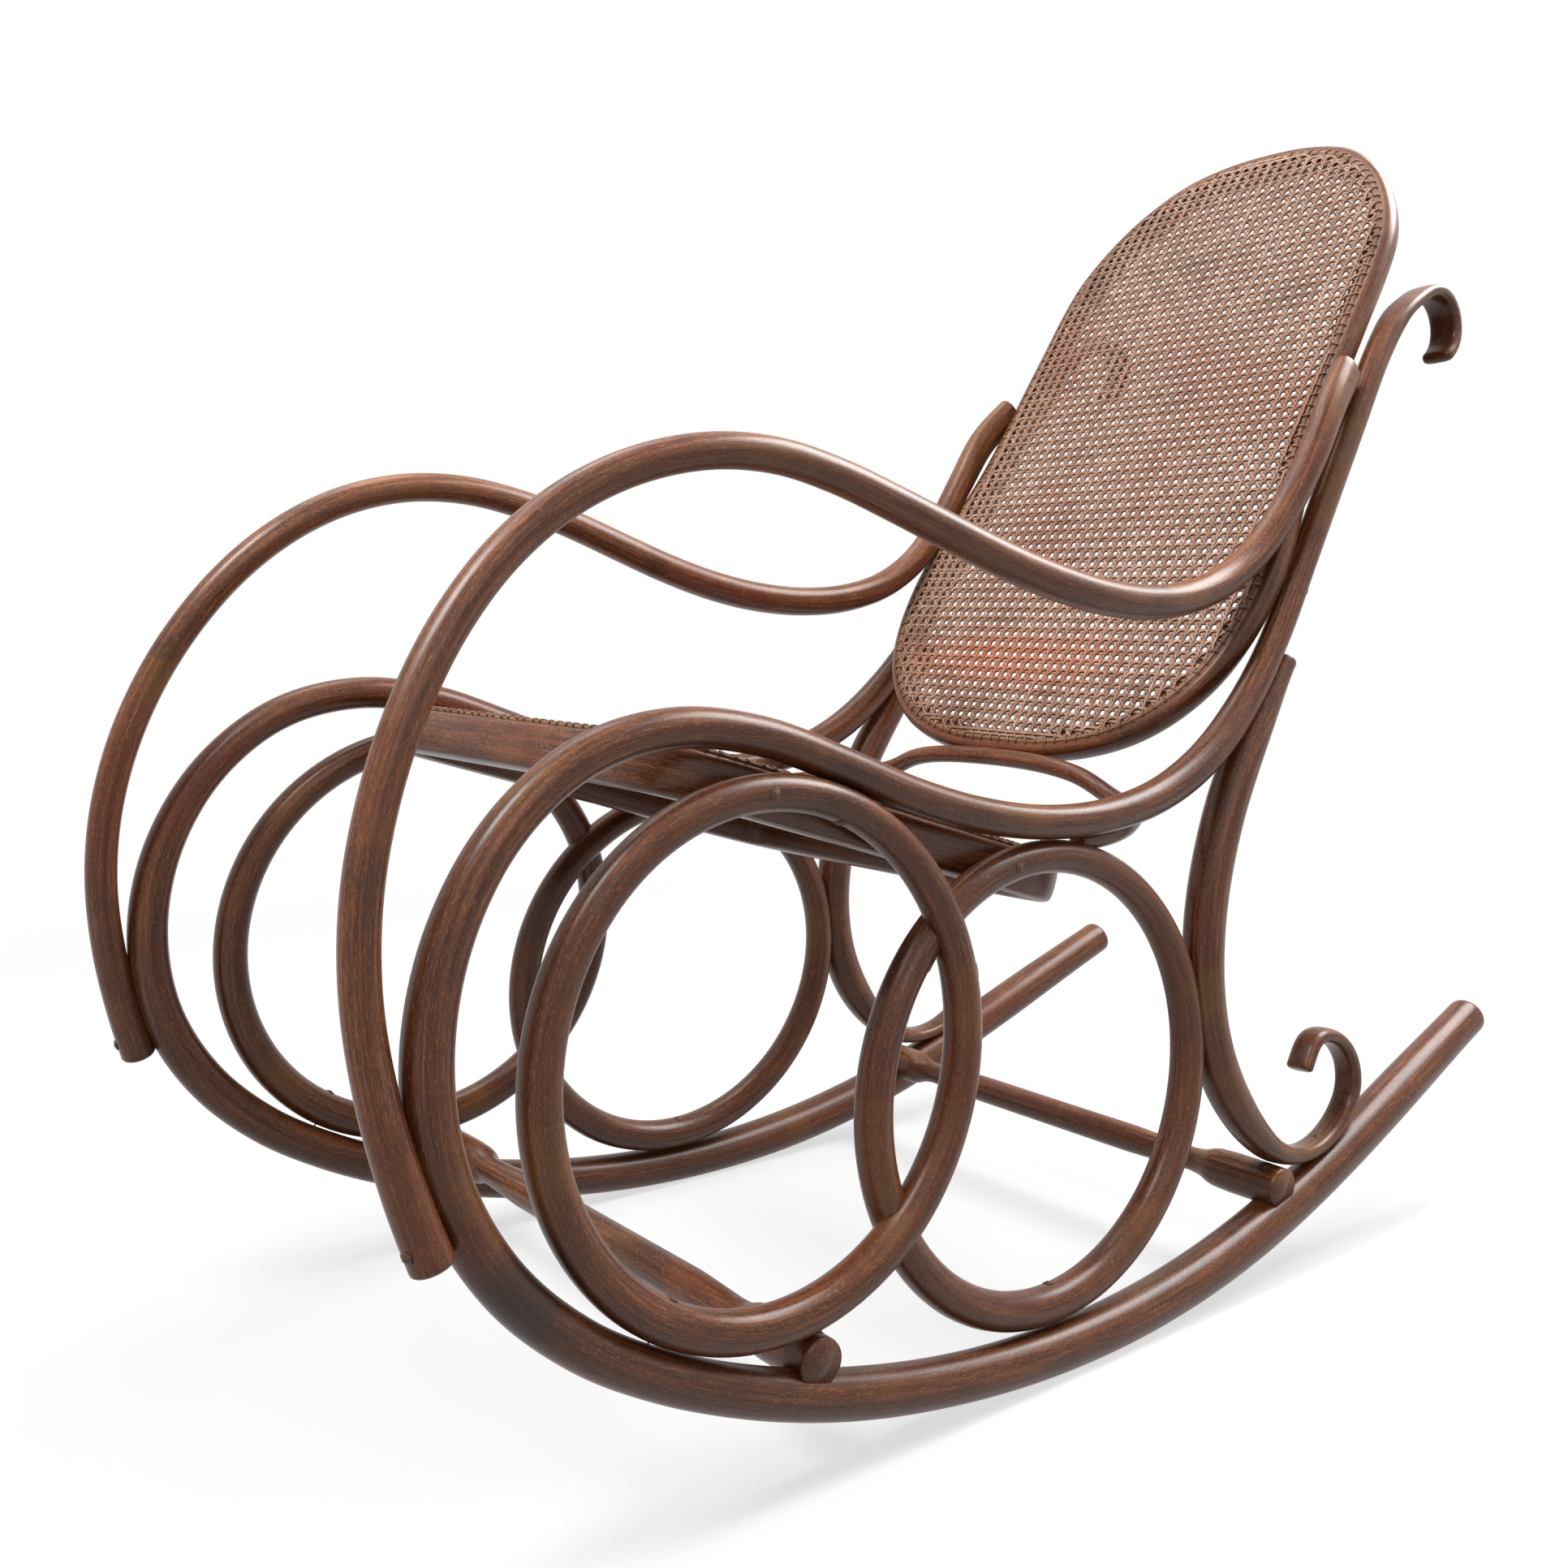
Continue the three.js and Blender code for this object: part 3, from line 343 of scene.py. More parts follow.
# Each noise has its scale, detail and roughness. On the grain the scale is given across,
# through and along the rod. Each layer of colour has where it starts and is full on its
# noise, and its strength.
woodGrain = {
    "streaks": ((380, 380, 10), 4, 0.6), "fibres": ((1700, 1700, 60), 2, 0.5),
    "dashes": ((1700, 1700, 260), 1, 0.5), "pores": ((2200, 2200, 340), 0, 0.5),
    "drift": (13.0, 3, 0.5), "warmth": (7.0, 2, 0.5), "shadow": (19.0, 2, 0.5),
    "shares": (0.55, 0.3, 0.15),
    "layers": {"red": ((0.48, 0.66), 0.45), "gold": ((0.52, 0.68), 0.40), "dark": ((0.52, 0.74), 0.45),
               "dash": ((0.60, 0.72), 0.40), "pore": ((0.62, 0.74), 0.45)},
    "darkPatchStrength": 0.75, "darkPatchDrift": 0.06, "poreDepth": 0.4, "bump": (0.1, 0.0003),
    "roughnessSwing": 0.16, "specular": 0.06, "coatRoughness": 0.3,
}


# Stained beech: long streaks, short pale and dark dashes along the bend, with redder,
# golden and darker places that drift over the whole chair, and one darker patch on the
# bend just below the arm's end.
def stainedWood(name, look):
    finish = Finish(bpy.data.materials.new(name))
    grain, place = finish.grain(), finish.place()
    streaks = finish.stretchedNoise(grain, *woodGrain["streaks"])
    fibres = finish.stretchedNoise(grain, *woodGrain["fibres"])
    dashes = finish.stretchedNoise(grain, *woodGrain["dashes"])
    pores = finish.stretchedNoise(grain, *woodGrain["pores"])
    drift = finish.noise(place, *woodGrain["drift"])
    warmth = finish.noise(place, *woodGrain["warmth"])
    shadow = finish.noise(place, *woodGrain["shadow"])
    ofStreaks, ofFibres, ofDashes = woodGrain["shares"]
    tone = streaks * ofStreaks + fibres * ofFibres + dashes * ofDashes
    colour = finish.ramp(tone, look["stops"])
    noises = {"red": warmth, "gold": drift, "dark": shadow, "dash": dashes, "pore": pores}
    for key, (edges, strength) in woodGrain["layers"].items():
        colour = finish.mixed(finish.mask(noises[key], *edges) * strength, colour, look[key])
    # a darker patch round one place on the bend, just below the arm's end
    away = finish.length(finish.vectors("SUBTRACT", place, look["darkPatchPlace"]))
    darkPatch = 1 - finish.mask(away + drift * woodGrain["darkPatchDrift"], *look["darkPatchReach"])
    colour = finish.mixed(darkPatch * woodGrain["darkPatchStrength"], colour, look["darkPatch"])
    swing = woodGrain["roughnessSwing"]
    finish.shade({"Base Color": colour, "Roughness": look["roughness"] + shadow * swing - swing / 2,
                  "Specular IOR Level": woodGrain["specular"], "Coat Weight": look["coat"],
                  "Coat Roughness": woodGrain["coatRoughness"],
                  "Normal": finish.bump(tone - pores * woodGrain["poreDepth"], *woodGrain["bump"])})
    return finish.owner


caneGrain = {
    "fibres": ((1700, 1700, 45), 2, 0.5), "strand": ((1.7, 0, 0), 0, 0.55), "knots": ((90, 90, 55), 2, 0.5),
    "worn": (9.0, 3, 0.55), "rosy": (5.0, 2, 0.5),
    "shares": (0.35, 0.3, 0.35),
    "layers": {"rosy": ((0.46, 0.66), 0.55), "dark": ((0.52, 0.72), 0.5)},
    # the sun entries set the painted pool of sunlight: its strength, how its edge wanders and where it
    # fades
    "paintedSunlightStrength": 0.45, "paintedSunlightDrift": 0.9, "paintedSunlightEdges": (0.6, 1.5), "seamStrength": 0.75,
    "bump": (0.25, 0.0002), "roughness": 0.42, "roughnessSwing": 0.2, "specular": 0.25,
}


# Aged cane: each strand has its own tone, fibres along it and dark edges, and the sheet is
# rosier and darker in places. An orange pool of sunlight is painted round one place on the
# cane. The grain's first value is the strand's number, a whole one, and the place across
# the strand.
def agedCane(name, look):
    finish = Finish(bpy.data.materials.new(name))
    grain, place = finish.grain(), finish.place()
    number = finish.node("ShaderNodeSeparateXYZ", {}, {0: grain}, "X")
    across = abs(number - number.maths("ROUND", number))
    strand = finish.stretchedNoise(grain, *caneGrain["strand"])
    fibres = finish.stretchedNoise(grain, *caneGrain["fibres"])
    knots = finish.stretchedNoise(grain, *caneGrain["knots"])
    worn = finish.noise(place, *caneGrain["worn"])
    rosy = finish.noise(place, *caneGrain["rosy"])
    ofStrand, ofFibres, ofKnots = caneGrain["shares"]
    tone = strand * ofStrand + fibres * ofFibres + knots * ofKnots
    colour = finish.ramp(tone, look["stops"])
    noises = {"rosy": rosy, "dark": worn}
    for key, (edges, strength) in caneGrain["layers"].items():
        colour = finish.mixed(finish.mask(noises[key], *edges) * strength, colour, look[key])
    # a painted pool of sunlight: an orange patch round one place on the cane, fading out from it
    paintedSunlightOffset = finish.vectors("MULTIPLY", finish.vectors("SUBTRACT", place, look["paintedSunlightPlace"]),
                          look["paintedSunlightReach"])
    paintedSunlight = 1 - finish.mask(finish.length(paintedSunlightOffset) + rosy * caneGrain["paintedSunlightDrift"], *caneGrain["paintedSunlightEdges"])
    colour = finish.mixed(paintedSunlight * caneGrain["paintedSunlightStrength"], colour, look["paintedSunlight"])
    seam = finish.mask(across, *look["edge"]) * caneGrain["seamStrength"]
    colour = finish.mixed(seam, colour, look["seam"])
    finish.shade({"Base Color": colour,
                  "Roughness": caneGrain["roughness"] + fibres * caneGrain["roughnessSwing"],
                  "Specular IOR Level": caneGrain["specular"],
                  "Normal": finish.bump(fibres, *caneGrain["bump"])})
    return finish.owner


# Screws: steel gone brown with stain, brighter where it is rubbed.
def darkSteel(name, look):
    finish = Finish(bpy.data.materials.new(name))
    tarnish = finish.noise(finish.place(), *look["tarnish"])
    finish.shade({"Base Color": finish.mixed(tarnish, look["dark"], look["rubbed"]),
                  "Metallic": look["metallic"],
                  "Roughness": look["roughness"] + tarnish * look["roughnessSwing"]})
    return finish.owner


woodLook = {
    "stops": [(0.34, linear(46, 22, 11)), (0.45, linear(82, 43, 23)), (0.55, linear(118, 67, 38)),
              (0.68, linear(168, 108, 66))],
    "red": linear(108, 45, 25), "gold": linear(134, 90, 40), "dark": linear(44, 22, 13),
    "dash": linear(204, 138, 80), "pore": linear(30, 15, 9), "roughness": 0.5, "coat": 0.65,
    # the smudge entries are a darker patch just below the arm's end: its colour, middle and reach
    "darkPatch": linear(40, 27, 24), "darkPatchPlace": (0.2565, -0.496, 0.188), "darkPatchReach": (0.045, 0.082),
}
armLook = dict(woodLook, stops=[(0.34, linear(54, 27, 15)), (0.45, linear(94, 52, 31)),
                                (0.55, linear(132, 79, 49)), (0.68, linear(180, 122, 82))])
reedLook = dict(woodLook, stops=[(0.36, linear(92, 62, 46)), (0.5, linear(142, 106, 84)),
                                 (0.64, linear(182, 148, 124))],
                red=linear(150, 102, 80), gold=linear(164, 128, 92), dark=linear(100, 70, 54),
                dash=linear(200, 170, 146), pore=linear(70, 46, 34), coat=0.1)
caneLook = {
    "stops": [(0.34, linear(104, 72, 54)), (0.5, linear(174, 134, 112)), (0.64, linear(222, 188, 166))],
    "rosy": linear(164, 110, 88), "dark": linear(104, 74, 58), "seam": linear(42, 24, 18),
    # the sun entries are the painted pool of sunlight: its orange, its middle and how fast it fades each
    # way
    "edge": (0.0007, 0.0013), "paintedSunlight": linear(212, 108, 62), "paintedSunlightPlace": (-0.04, 0.205, 0.525),
    "paintedSunlightReach": (5.5, 10.0, 26.0),
}
steelLook = {"dark": linear(66, 42, 28), "rubbed": linear(106, 72, 50), "tarnish": (350.0, 3, 0.6),
             "metallic": 0.2, "roughness": 0.4, "roughnessSwing": 0.25}
finishes = {
    "dark_beech": stainedWood("darkBeech", woodLook),
    "warm_beech": stainedWood("warmBeech", armLook),
    "reed": stainedWood("reed", reedLook),
    "cane": agedCane("cane", caneLook),
    "screw_steel": darkSteel("screwSteel", steelLook),
}
print("finishes ready:", ", ".join(finishes))


# How far each piece's grain is moved along, in mm, so that no two show the same streaks.
grainShift = {
    "nextPart": 6000.0, "rightSide": 31000.0, "back_rail": 70000.0, "back_binder": 76000.0,
    "seat_band": 80000.0, "seat_binder": 86000.0, "hoop": 90000.0, "stretchers": 96000.0,
    "nextStretcher": 3000.0,
}
# Square to a side, which leans in and toes in.
sideAcross = (0.99811, 0.01603, 0.05931)
# Thickness as a share of the solid rods', so that nothing stands past them.
sideFullness = 0.985

mainBend = {
    "path": [
        [201.2, 529.5, 807.7], [200.3, 544.6, 819.2], [199.1, 550.2, 837.2], [198.2, 544.5, 855.3],
        [197.7, 529.5, 866.8], [198, 510.6, 867.6], [198.9, 488.7, 858.1], [199.9, 467.7, 846.2],
        [200.8, 454.8, 835.2], [202, 439.8, 818.3], [204, 418.8, 790.3], [207.8, 383.9, 736.4],
        [212.1, 344, 675.5], [216.5, 302.5, 611.8], [220.6, 265, 554], [224.5, 219.9, 500.5],
        [227.9, 166.6, 456.9], [230.6, 104.5, 428.9], [232.4, 36, 416.8], [233.5, -34.5, 417.8],
        [233.9, -102.7, 428.9], [233.8, -168.6, 448.1], [233.4, -233.2, 473], [233.1, -299.2, 495.9],
        [233.7, -368.1, 504.4], [235.6, -434.6, 489.9], [238.9, -490.3, 449], [243, -527.2, 390.3],
        [247.2, -541.8, 323.2], [251.1, -533, 255.2], [254.3, -500.9, 193.9], [256.4, -452, 144.3],
        [257.7, -393.9, 107], [258.4, -331.1, 77.7], [258.7, -265.8, 54.7], [258.7, -198.5, 37.5],
        [258.3, -130, 25.7], [257.6, -61, 19], [256.6, 8.3, 17.5], [255.2, 77.5, 20.9],
        [253.6, 146.4, 29.6], [251.7, 214.4, 43.3], [249.5, 281.2, 61.7], [247.2, 346.7, 83.5],
        [244.7, 411.6, 107.8], [242.2, 476.1, 132.7], [240.1, 529.8, 153.1], [238.1, 581.4, 172.4],
    ],
    "sizes": [
        [0, 30, 12.5, 0.6], [7, 30, 12.5, 0.6], [10, 25, 25, 1], [14, 25, 25, 1], [16, 29, 29, 1],
        [19, 26.5, 26.5, 1], [25, 26.5, 26.5, 1], [29, 32, 32, 1], [31, 32, 32, 1], [35, 36, 36, 1],
        [41, 41, 41, 1], [44, 41, 41, 1], [47, 37, 37, 1],
    ],
    "across": sideAcross, "fullness": sideFullness, "spacing": 7.0, "sides": 28, "endRound": 5.5,
}
arm = {
    "path": [
        [262.6, -548, 219.5], [256.2, -560.5, 262.6], [248.8, -571.6, 315.5], [241.9, -576, 369],
        [235.8, -571.5, 421.9], [230.3, -558, 473.3], [224.2, -536.2, 522.7], [217.8, -506.7, 568.5],
        [213, -470.1, 608.6], [210.9, -426.9, 640.6], [211.9, -378.3, 662.8], [214, -326.1, 674.1],
        [214.2, -272.5, 674.1], [212.4, -219.1, 663.6], [212.4, -166.9, 647], [214.8, -116, 628.5],
        [217.3, -65.7, 610.7], [219.1, -14.5, 595.6], [218.9, 39.1, 584.6], [216.5, 94.7, 579.8],
        [213.4, 149.5, 583.1], [211.1, 200.5, 596.8], [211.6, 245.1, 623.1], [214.1, 282.4, 661.3],
        [215.4, 314.4, 705.8], [212.6, 344.4, 751], [204.5, 380.1, 785.4],
    ],
    "sizes": [[0, 28, 28, 1], [3, 25, 25, 1], [11, 25, 25, 1], [18, 30, 30, 1], [23, 28, 28, 1],
              [26, 22, 33, 0.8]],
    "across": (1, 0, 0), "fullness": 0.945, "spacing": 7.0, "sides": 28, "endRound": 3.0,
}
rearLeg = {
    "path": [
        [221.7, 279.7, 531.1], [222.6, 268, 518.2], [224, 251.8, 499], [225.8, 231.6, 474.3],
        [227.4, 211.9, 448.8], [229.1, 194.7, 422.3], [230.6, 181.5, 395], [232.2, 170.5, 366.5],
        [233.8, 162, 337], [235.4, 157, 306.4], [237.1, 155.4, 275], [238.7, 158.3, 243.7],
        [240.4, 165.6, 213.1], [242.1, 178.4, 183.2], [243.9, 197, 154.5], [245.5, 220.4, 128.4],
        [246.8, 246.9, 107.9], [247.3, 280.3, 97.3], [246.7, 315.1, 100.4], [245.3, 345.7, 115.9],
        [243.6, 364.5, 139.8], [241.9, 362, 167.9], [240.9, 338.4, 191.8], [241.1, 307.6, 196.2],
        [242.9, 287.8, 171.4],
    ],
    "sizes": [[0, 18, 18, 1], [5, 35, 35, 1], [13, 35, 35, 1], [18, 25, 13.5, 0.8],
              [24, 25, 13.5, 0.8]],
    "across": sideAcross, "fullness": sideFullness, "spacing": 5.0, "sides": 28, "endRound": 3.0,
}
# Rings: radius and middle in the side's own plane, how far out of it, and how much wider
# than high. The rod is thinner at the top than at the bottom, and the joint is at a turn.
rings = {
    "front_ring": {"radius": 171.9, "y": -315.0, "z": 288.5, "out": 5, "stretch": 1.0},
    "rear_ring": {"radius": 170.2, "y": -48.6, "z": 221.4, "out": -5, "stretch": 1.02},
}
ringRod = {"top": 25.5, "bottom": 30, "joint": 2.4, "steps": 150, "sides": 28}
stand = {"halfWidth": 257.5, "lean": 3.4, "toe": 0.92, "shift": (0, 11.65, 0.68)}


# A place on a side's own plane (out of it, along it, up it), carried to the chair: turned
# by the lean about its foot line, then by the toe about the upright, and moved.
def onSide(out, along, up):
    lean, toe = np.radians([stand["lean"], stand["toe"]])
    inward = out * np.cos(lean) - up * np.sin(lean)
    return np.stack([stand["halfWidth"] + inward * np.cos(toe) - along * np.sin(toe),
                     inward * np.sin(toe) + along * np.cos(toe),
                     out * np.sin(lean) + up * np.cos(lean)], 1) + stand["shift"]


# A side's ring: at a turn t its middle is stretch * radius * cos t along and radius * sin t
# up, and (1 + sin t) / 2 is how far its thickness has gone from the bottom's to the top's.
def ringGrid(ring):
    steps = ringRod["steps"]
    turn = np.arange(steps) / steps * 2 * np.pi + ringRod["joint"]
    path = onSide(np.full(steps, float(ring["out"])),
                  ring["y"] + ring["stretch"] * ring["radius"] * np.cos(turn),
                  ring["z"] + ring["radius"] * np.sin(turn))
    size = ringRod["bottom"] + (ringRod["top"] - ringRod["bottom"]) * (1 + np.sin(turn)) / 2
    size = size * sideFullness
    corners = rodCorners(np.stack([size, size, np.ones(steps)], 1), ringRod["sides"])
    return swept(path, directionOf(path, True), sideAcross, corners), corners, closedRun(path), True


bendGrid = rodGrid(mainBend)
bendGrid[0][..., 2] = np.maximum(bendGrid[0][..., 2], 0)  # the worn flat that it stands on
sideGrids = {
    "main_bend": (bendGrid, "dark_beech"),
    "front_ring": (ringGrid(rings["front_ring"]), "dark_beech"),
    "rear_ring": (ringGrid(rings["rear_ring"]), "dark_beech"),
    "rear_s_leg": (rodGrid(rearLeg), "dark_beech"),
    "arm": (rodGrid(arm), "warm_beech"),
}
for number, (part, (grid, slotName)) in enumerate(sideGrids.items()):
    for side, mirror in (("left", False), ("right", True)):
        shift = grainShift["nextPart"] * number + (grainShift["rightSide"] if mirror else 0.0)
        piece = makePiece(f"{side}_{part}_rod", [grid], slotName, shift, mirror)
        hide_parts(f"{side}_{part}")
print("sides ready")


back = {
    "halfWidth": 208.61, "height": 692.6, "tilt": 33.1, "place": (0, 248.34, 593.44), "rail": 26,
    "binderPlace": 0, "firstStrand": 0,
    "outline": [
        [0, -0.2393], [0.230, -0.2385], [0.450, -0.2266], [0.640, -0.2035], [0.790, -0.1685],
        [0.905, -0.1210], [0.972, -0.0640], [1.000, 0.0090], [0.985, 0.0750], [0.948, 0.1350],
        [0.908, 0.2050], [0.889, 0.2850], [0.883, 0.3700], [0.876, 0.4410], [0.871, 0.5030],
        [0.848, 0.5650], [0.780, 0.6180], [0.660, 0.6740], [0.494, 0.7190], [0.381, 0.7360],
        [0.190, 0.7495], [0, 0.7525],
    ],
    "section": [
        [-0.78, -0.42], [-0.42, -0.50], [-0.12, -0.46], [0, -0.34], [0, 0], [0, 0.28],
        [-0.14, 0.46], [-0.45, 0.50], [-0.78, 0.42], [-1, 0.18], [-1, -0.18],
    ],
}
seat = {
    "frontHalf": 223.08, "rearHalf": 217.83, "frontShare": -0.34, "rearShare": 0.29, "depth": 438,
    "slope": 17.2, "place": (0, -159.35, 434.68), "width": 30, "height": 35, "rounding": 5,
    "binderPlace": 8.0, "firstStrand": 500,
    "outline": [
        [0, -0.500], [0.350, -0.500], [0.640, -0.500], [0.820, -0.490], [0.925, -0.455],
        [0.975, -0.410], [0.998, -0.330], [1.000, -0.200], [1.000, -0.060], [1.000, 0.090],
        [0.998, 0.230], [0.982, 0.345], [0.930, 0.425], [0.840, 0.468], [0.680, 0.488],
        [0.450, 0.497], [0.220, 0.500], [0, 0.500],
    ],
}
bandCurve = {"step": 6.0, "loopStep": 1.0, "soften": 4.0}
binder = {"halfWidth": 2.3, "proud": 1.5, "sunk": 1.5, "crown": 0.7, "points": 9}
# The loops over the binder. Their run and the next one's place are the grain's, in mm.
loop = {"every": 11.3, "reach": 3.6, "height": 2.5, "crown": 0.8, "lean": 0.9, "width": 2.3,
        "thickness": 0.7, "topShare": 0.7, "points": 8, "run": 3.0, "next": 20.0}
# The weave: the strands' level over the band, how high they swing (in thicknesses, with a
# little air), where their ends dive, and a slow wander to either side.
weave = {
    "pitch": 11.3, "pair": 1.85, "width": 3.6, "thickness": 0.95, "level": 1.9, "air": 1.05,
    "section": [[-0.5, -0.5], [0.5, -0.5], [0.30, 0.5], [-0.30, 0.5]], "slantSwing": 1.25,
    "dive": 9.0, "foot": 0.2, "shortest": 4, "closest": 0.4, "edgeInset": 1.6,
    "wander": 0.12, "wanderRun": 37.0, "wanderTurn": 2.4, "tints": 60, "nextTint": 0.618,
}


# Both halves of an outline that is given from its middle to its other middle: x, then -x.
def wholeOutline(half):
    half = np.asarray(half, float)
    return np.vstack([half, half[-2:0:-1] * [-1, 1]])


# A tilted plane's own (x, up, forward or out) carried to the chair: turned about X.
def onPlane(flat, angle, place, upright):
    turn = np.radians(-angle)
    x, up, out = flat[..., 0], flat[..., 1], flat[..., 2]
    y, z = (-out, up) if upright else (up, out)
    return np.stack([x, y * np.cos(turn) - z * np.sin(turn), y * np.sin(turn) + z * np.cos(turn)],
                    -1) + place


# The closed path of a band's middle, in its own plane, moved inwards by an inset, and the
# way outwards at each point: its heading turned to the right, as outlines run leftwards.
def bandPath(outline, inset, step=bandCurve["step"]):
    path = smoothPath(outline, closed=True, step=step, soften=bandCurve["soften"])[0][:-1]
    heading = directionOf(path, True)
    outward = np.stack([heading[:, 1], -heading[:, 0]], 1)
    return path - outward * inset, outward


# A band's section carried round its outline: (out of the plane, outward) at each corner.
def bandGrid(outline, inset, section, way):
    path, outward = bandPath(outline, inset)
    flat = np.concatenate([path[:, None, :] + outward[:, None, :] * section[None, :, 1:2],
                           np.broadcast_to(section[None, :, 0:1], (len(path), len(section), 1))], 2)
    corners = np.broadcast_to(section, (len(path),) + section.shape)
    return onPlane(flat, *way), corners, closedRun(path), True


# Where a line through the plane is inside the outline: sorted pairs of crossings, each at
# the share of an edge where the distance to the line passes through 0.
def insideSpans(outline, start, heading):
    side = (outline - start) @ np.array([-heading[1], heading[0]])
    along = (outline - start) @ heading
    after, alongAfter = np.roll(side, -1), np.roll(along, -1)
    crossing = (side > 0) != (after > 0)
    share = side[crossing] / (side[crossing] - after[crossing])
    places = np.sort(along[crossing] + share * (alongAfter - along)[crossing])
    return places.reshape(-1, 2)


# One flat strand, in as many stretches as the outline cuts from it: its middle line is
# lift + swing * cos(2 pi * rate * run / pitch) thicknesses over the sheet's level, and
# both ends dive to the band's face. A whole metre in the grain tells strands apart.
def strandGrids(outline, start, heading, wave, spacing, number, way):
    lift, swing, rate = wave
    shape = np.array(weave["section"]) * [weave["width"], weave["thickness"]]
    tint = int(weave["tints"] * (number * weave["nextTint"] % 1)) / mm
    sideways = np.array([-heading[1], heading[0]])
    grids = []
    for low, high in insideSpans(outline, start, heading):
        if high - low < weave["shortest"]:
            continue
        first, last = np.ceil(low / spacing), np.floor(high / spacing)
        run = np.concatenate([[low], np.arange(first, last + 1) * spacing, [high]])
        run = run[np.append(True, np.diff(run) > weave["closest"])]
        rise = lift + swing * np.cos(2 * np.pi * rate * run / weave["pitch"])
        rise = rise * weave["thickness"] * weave["air"]
        fade = np.clip(np.minimum(run - low, high - run) / weave["dive"], 0, 1)
        rise = (rise + weave["level"]) * fade + weave["foot"] * (1 - fade)
        drift = weave["wander"] * np.sin(run / weave["wanderRun"] + number * weave["wanderTurn"])
        middle = start + heading * run[:, None] + sideways * drift[:, None]
        flat = middle[:, None, :] + sideways * shape[None, :, 0:1]
        rise = rise[:, None] + shape[None, :, 1]
        vertices = onPlane(np.concatenate([flat, rise[..., None]], 2), *way)
        corners = np.broadcast_to(shape + [tint, 0], (len(run),) + shape.shape)
        grids.append((vertices, corners, run - low, False))
    return grids


# Six-way cane: pairs up and across at one pitch, and diagonals halfway between them, one
# over the upright pairs and the other over the level pairs. Heights repeat with the pitch.
def caneGrids(outline, number, way):
    pitch, pair = weave["pitch"], weave["pair"]
    middle = (outline[:, 1].max() + outline[:, 1].min()) / 2
    reach = np.abs(outline).max(0) + pitch
    columns = int(reach[0] / pitch) + 1
    rows = int((reach[1] + abs(middle)) / pitch) + 2
    straight, slanted = [], []
    for k in range(-columns, columns + 1):
        for sign in (-1, 1):  # upright strands: one under and one over the level ones
            number += 1
            start = np.array([k * pitch + sign * pair, middle])
            straight += strandGrids(outline, start, np.array([0.0, 1.0]), (sign / 2, sign / 2, 1.0),
                                    pitch / 4, number, way)
    for k in range(-rows, rows + 1):
        for sign in (-1, 1):
            number += 1
            start = np.array([0.0, middle + k * pitch + sign * pair])
            straight += strandGrids(outline, start, np.array([1.0, 0.0]), (0.0, 0.0, 1.0),
                                    pitch / 2, number, way)
    slant = np.sqrt(0.5)
    for k in range(-2 * rows, 2 * rows + 1):
        for sign in (1, -1):
            number += 1
            start = np.array([0.0, middle + (k + 0.5) * pitch])
            slanted += strandGrids(outline, start, np.array([slant, sign * slant]),
                                   (0.0, -sign * weave["slantSwing"], slant),
                                   pitch * slant / 2, number, way)
    return straight, slanted


# The binder over the cane's edge: a strip crowned by proud * cos^0.7, half its width wide.
def binderSection(middle):
    half, proud, sunk = binder["halfWidth"], binder["proud"], binder["sunk"]
    turn = np.radians(np.linspace(-90, 90, binder["points"]))
    crown = np.stack([proud * np.cos(turn) ** binder["crown"], middle + half * np.sin(turn)], 1)
    return np.vstack([[[-sunk, middle - half]], crown, [[-sunk, middle + half]]])


# Loops of cane that hold the binder down, one at each step round the outline: an arch
# across it, at a turn t from one foot to the other reach * cos t out and height * sin^0.8 t
# up, and lean * cos t along the binder, one way and the other in turn.
def binderLoops(outline, inset, way):
    path, outward = bandPath(outline, inset, bandCurve["loopStep"])
    heading = np.stack([-outward[:, 1], outward[:, 0]], 1)
    turn = np.radians(np.linspace(0, 180, loop["points"]))
    width, thickness = loop["width"] / 2, loop["thickness"] / 2
    top = loop["topShare"] * width
    shape = np.array([[-width, -thickness], [width, -thickness], [top, thickness], [-top, thickness]])
    corners = np.broadcast_to(shape, (len(turn),) + shape.shape)
    arch = loop["height"] * np.sin(turn) ** loop["crown"]
    out = np.outer(np.cos(turn), loop["reach"] + shape[:, 1])
    up = arch[:, None] + np.outer(np.sin(turn), shape[:, 1])
    rows = np.arange(0, len(path), loop["every"] / bandCurve["loopStep"]).astype(int)
    grids = []
    for number, row in enumerate(rows):
        lean = loop["lean"] * (1 if number % 2 else -1) * np.cos(turn)[:, None]
        flat = (path[row] + outward[row] * out[..., None]
                + heading[row] * (shape[None, :, 0] + lean)[..., None])
        vertices = onPlane(np.concatenate([flat, up[..., None]], 2), *way)
        grids.append((vertices, corners, turn * loop["run"] + number * loop["next"], False))
    return grids


# A caned panel on its band: the binder with its loops, at its place outwards from the
# band's middle, and the cane up to it.
def canedPanel(name, outline, inset, panel, way):
    middle = panel["binderPlace"]
    grids = [bandGrid(outline, inset, binderSection(middle), way)]
    grids += binderLoops(outline, inset - middle, way)
    piece = makePiece(f"{name}_binder", grids, "reed", grainShift[f"{name}_binder"])
    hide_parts(f"{name}_spline")
    edge, _ = bandPath(outline, inset - middle + weave["edgeInset"])
    straight, slanted = caneGrids(edge, panel["firstStrand"], way)
    piece = makePiece(f"{name}_cane_straight", straight, "cane")
    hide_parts(f"{name}_cane")
    makePiece(f"{name}_cane_slanted", slanted, "cane")
    print(f"{name} ready:", len(straight) + len(slanted), "strands")


